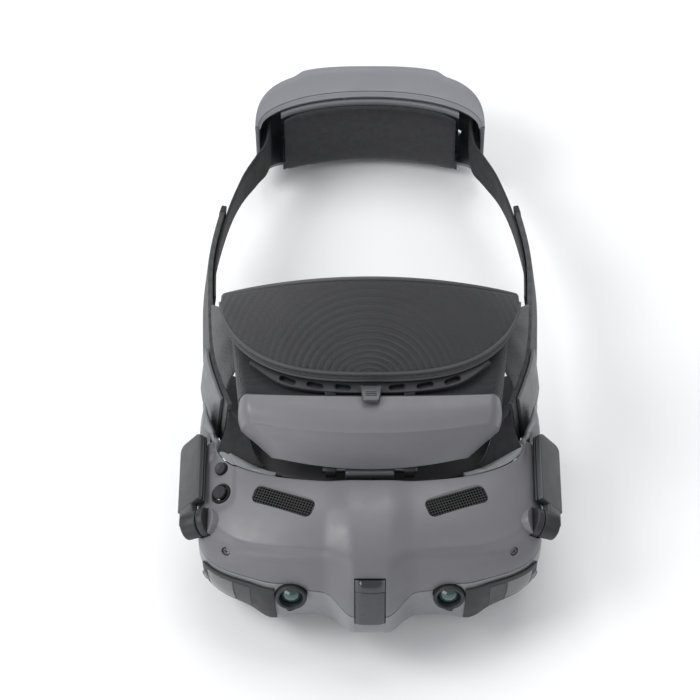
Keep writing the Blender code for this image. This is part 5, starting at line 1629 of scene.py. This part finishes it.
sunk = DIAL_TALL - 0.7 * MM
grip = [
    (AXIS, sunk), (8.2 * MM, sunk), *in_mm((9.0, 5.4), (11.8, 5.5), (12.6, 5.2)), (DIAL_RADIUS, 4.6 * MM)
]
grip += [(DIAL_RADIUS, 0.3 * MM), (DIAL_RADIUS - 0.3 * MM, 0.0), (AXIS, 0.0)]
dial = turned(
    "tension_dial", grip, Matrix.Translation((0.0, DIAL_FRONT, DIAL_Z)) @ along((0, 1, 0)), 96, 44, 0.4 * MM
)
show(dial, RUBBER, "dial", "dial")
teeth = [(2 * pi * k / 40, (5.9 if k % 4 < 2 else 4.1) * MM) for k in range(40)]
pinion = [
    [Vector((cos(t) * r, y, DIAL_Z + sin(t) * r)) for t, r in teeth]
    for y in (DIAL_FRONT - 7.0 * MM, DIAL_FRONT + 1.0 * MM)
]
attach(settle(bevel(loft("dial_pinion", pinion), 0.2 * MM, 2)), RUBBER, dial)
mark = tube(
    "dial_mark", [(0.0, DIAL_FACE - 0.1 * MM, DIAL_Z + z * MM) for z in (9.4, 10.4, 11.4)], 0.35 * MM
)
attach(mark, LIGHT_GREY, dial)
button = [
    (AXIS, 4.05 * MM), *in_mm((1.4, 4.05), (2.3, 4.3), (2.7, 4.1), (2.8, 3.7), (2.8, 0.0)), (AXIS, 0.0)
]
power = turned(
    "power_key", button, Matrix.Translation((0.0, power_back - 3.5 * MM, POWER_Z)) @ along((0, 1, 0)), 48
)
show(power, RUBBER, "power_button", "power_button", slot="dark_plastic")

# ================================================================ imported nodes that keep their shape
KEPT = {
    "eye_plate": DARK, "barrel": DARK, "display": DISPLAY, "lens_cell": DARK, "eye_lens": LENS_CLEAR,
    "main_board": CIRCUIT, "heat_sink": ALUMINIUM, "fan_rotor": DARK, "forehead_pin": STEEL,
    "battery_cell": WRAP,
}
for name, node in NODES.items():
    for start, look in KEPT.items():
        if name.startswith(start):
            node.data.materials.clear()
            node.data.materials.append(look)
            if name.startswith(("barrel", "lens_cell", "eye_lens", "eye_plate")):
                node.data.shade_smooth()
                node.data.set_sharp_from_angle(angle=radians(35))

# ================================================================ floor, lights and camera
floor_mesh = bmesh.new()
bmesh.ops.create_grid(floor_mesh, x_segments=1, y_segments=1, size=3.0)
floor = new_object("floor", floor_mesh)
floor_look, tree, shader = new_material("pale floor")
floor_nodes = Nodes(tree)
floor_nodes.link(
    floor_nodes.tint(floor_nodes.noise(3.0), (0.86, 0.86, 0.865), (0.88, 0.88, 0.885)),
    shader.inputs["Base Color"],
)
values(shader, Roughness=0.9)
floor.data.materials.append(floor_look)


def softbox(name, size, place, target, power):
    data = bpy.data.lights.new(name, "AREA")
    data.shape = "RECTANGLE"
    data.size, data.size_y = size
    data.energy = power
    lamp = link(bpy.data.objects.new(name, data))
    lamp.matrix_world = Matrix.Translation(place) @ (
        Vector(target) - Vector(place)
    ).to_track_quat("-Z", "Y").to_matrix().to_4x4()


MIDDLE = (0.0, 0.0, 0.05)
softbox("key", (0.6, 0.6), (-0.8, -0.15, 0.95), MIDDLE, 7.5)
softbox("top", (1.1, 0.9), (0.1, 0.6, 1.4), MIDDLE, 10.0)
softbox("fill", (0.8, 0.8), (0.95, -0.5, 0.8), MIDDLE, 1.6)
softbox("front", (0.9, 0.5), (-0.7, -1.15, 0.30), MIDDLE, 3.8)
softbox("back", (1.2, 0.5), (0.0, 1.3, 0.55), MIDDLE, 4.0)
world = bpy.data.worlds.new("studio")
world.use_nodes = True
world.node_tree.nodes["Background"].inputs["Color"].default_value = (0.95, 0.97, 1.0, 1.0)
world.node_tree.nodes["Background"].inputs["Strength"].default_value = 0.5
bpy.context.scene.world = world
bpy.context.scene.view_settings.view_transform = "Standard"

lens = bpy.data.cameras.new("camera")
lens.lens, lens.sensor_width = 135.0, 36.0
lens.shift_x = -20.0 / 700.0
lens.clip_start, lens.clip_end = 0.05, 20.0
camera = link(bpy.data.objects.new("camera", lens))
elevation, distance = radians(55.0), 1.215
target = Vector((0.0, SHIFT.y, 0.060))
back_away = Vector((0.0, -cos(elevation), sin(elevation)))
camera.matrix_world = Matrix.Translation(
    target + back_away * distance
) @ (-back_away).to_track_quat("-Z", "Y").to_matrix().to_4x4()
bpy.context.scene.camera = camera

bpy.context.view_layer.update()
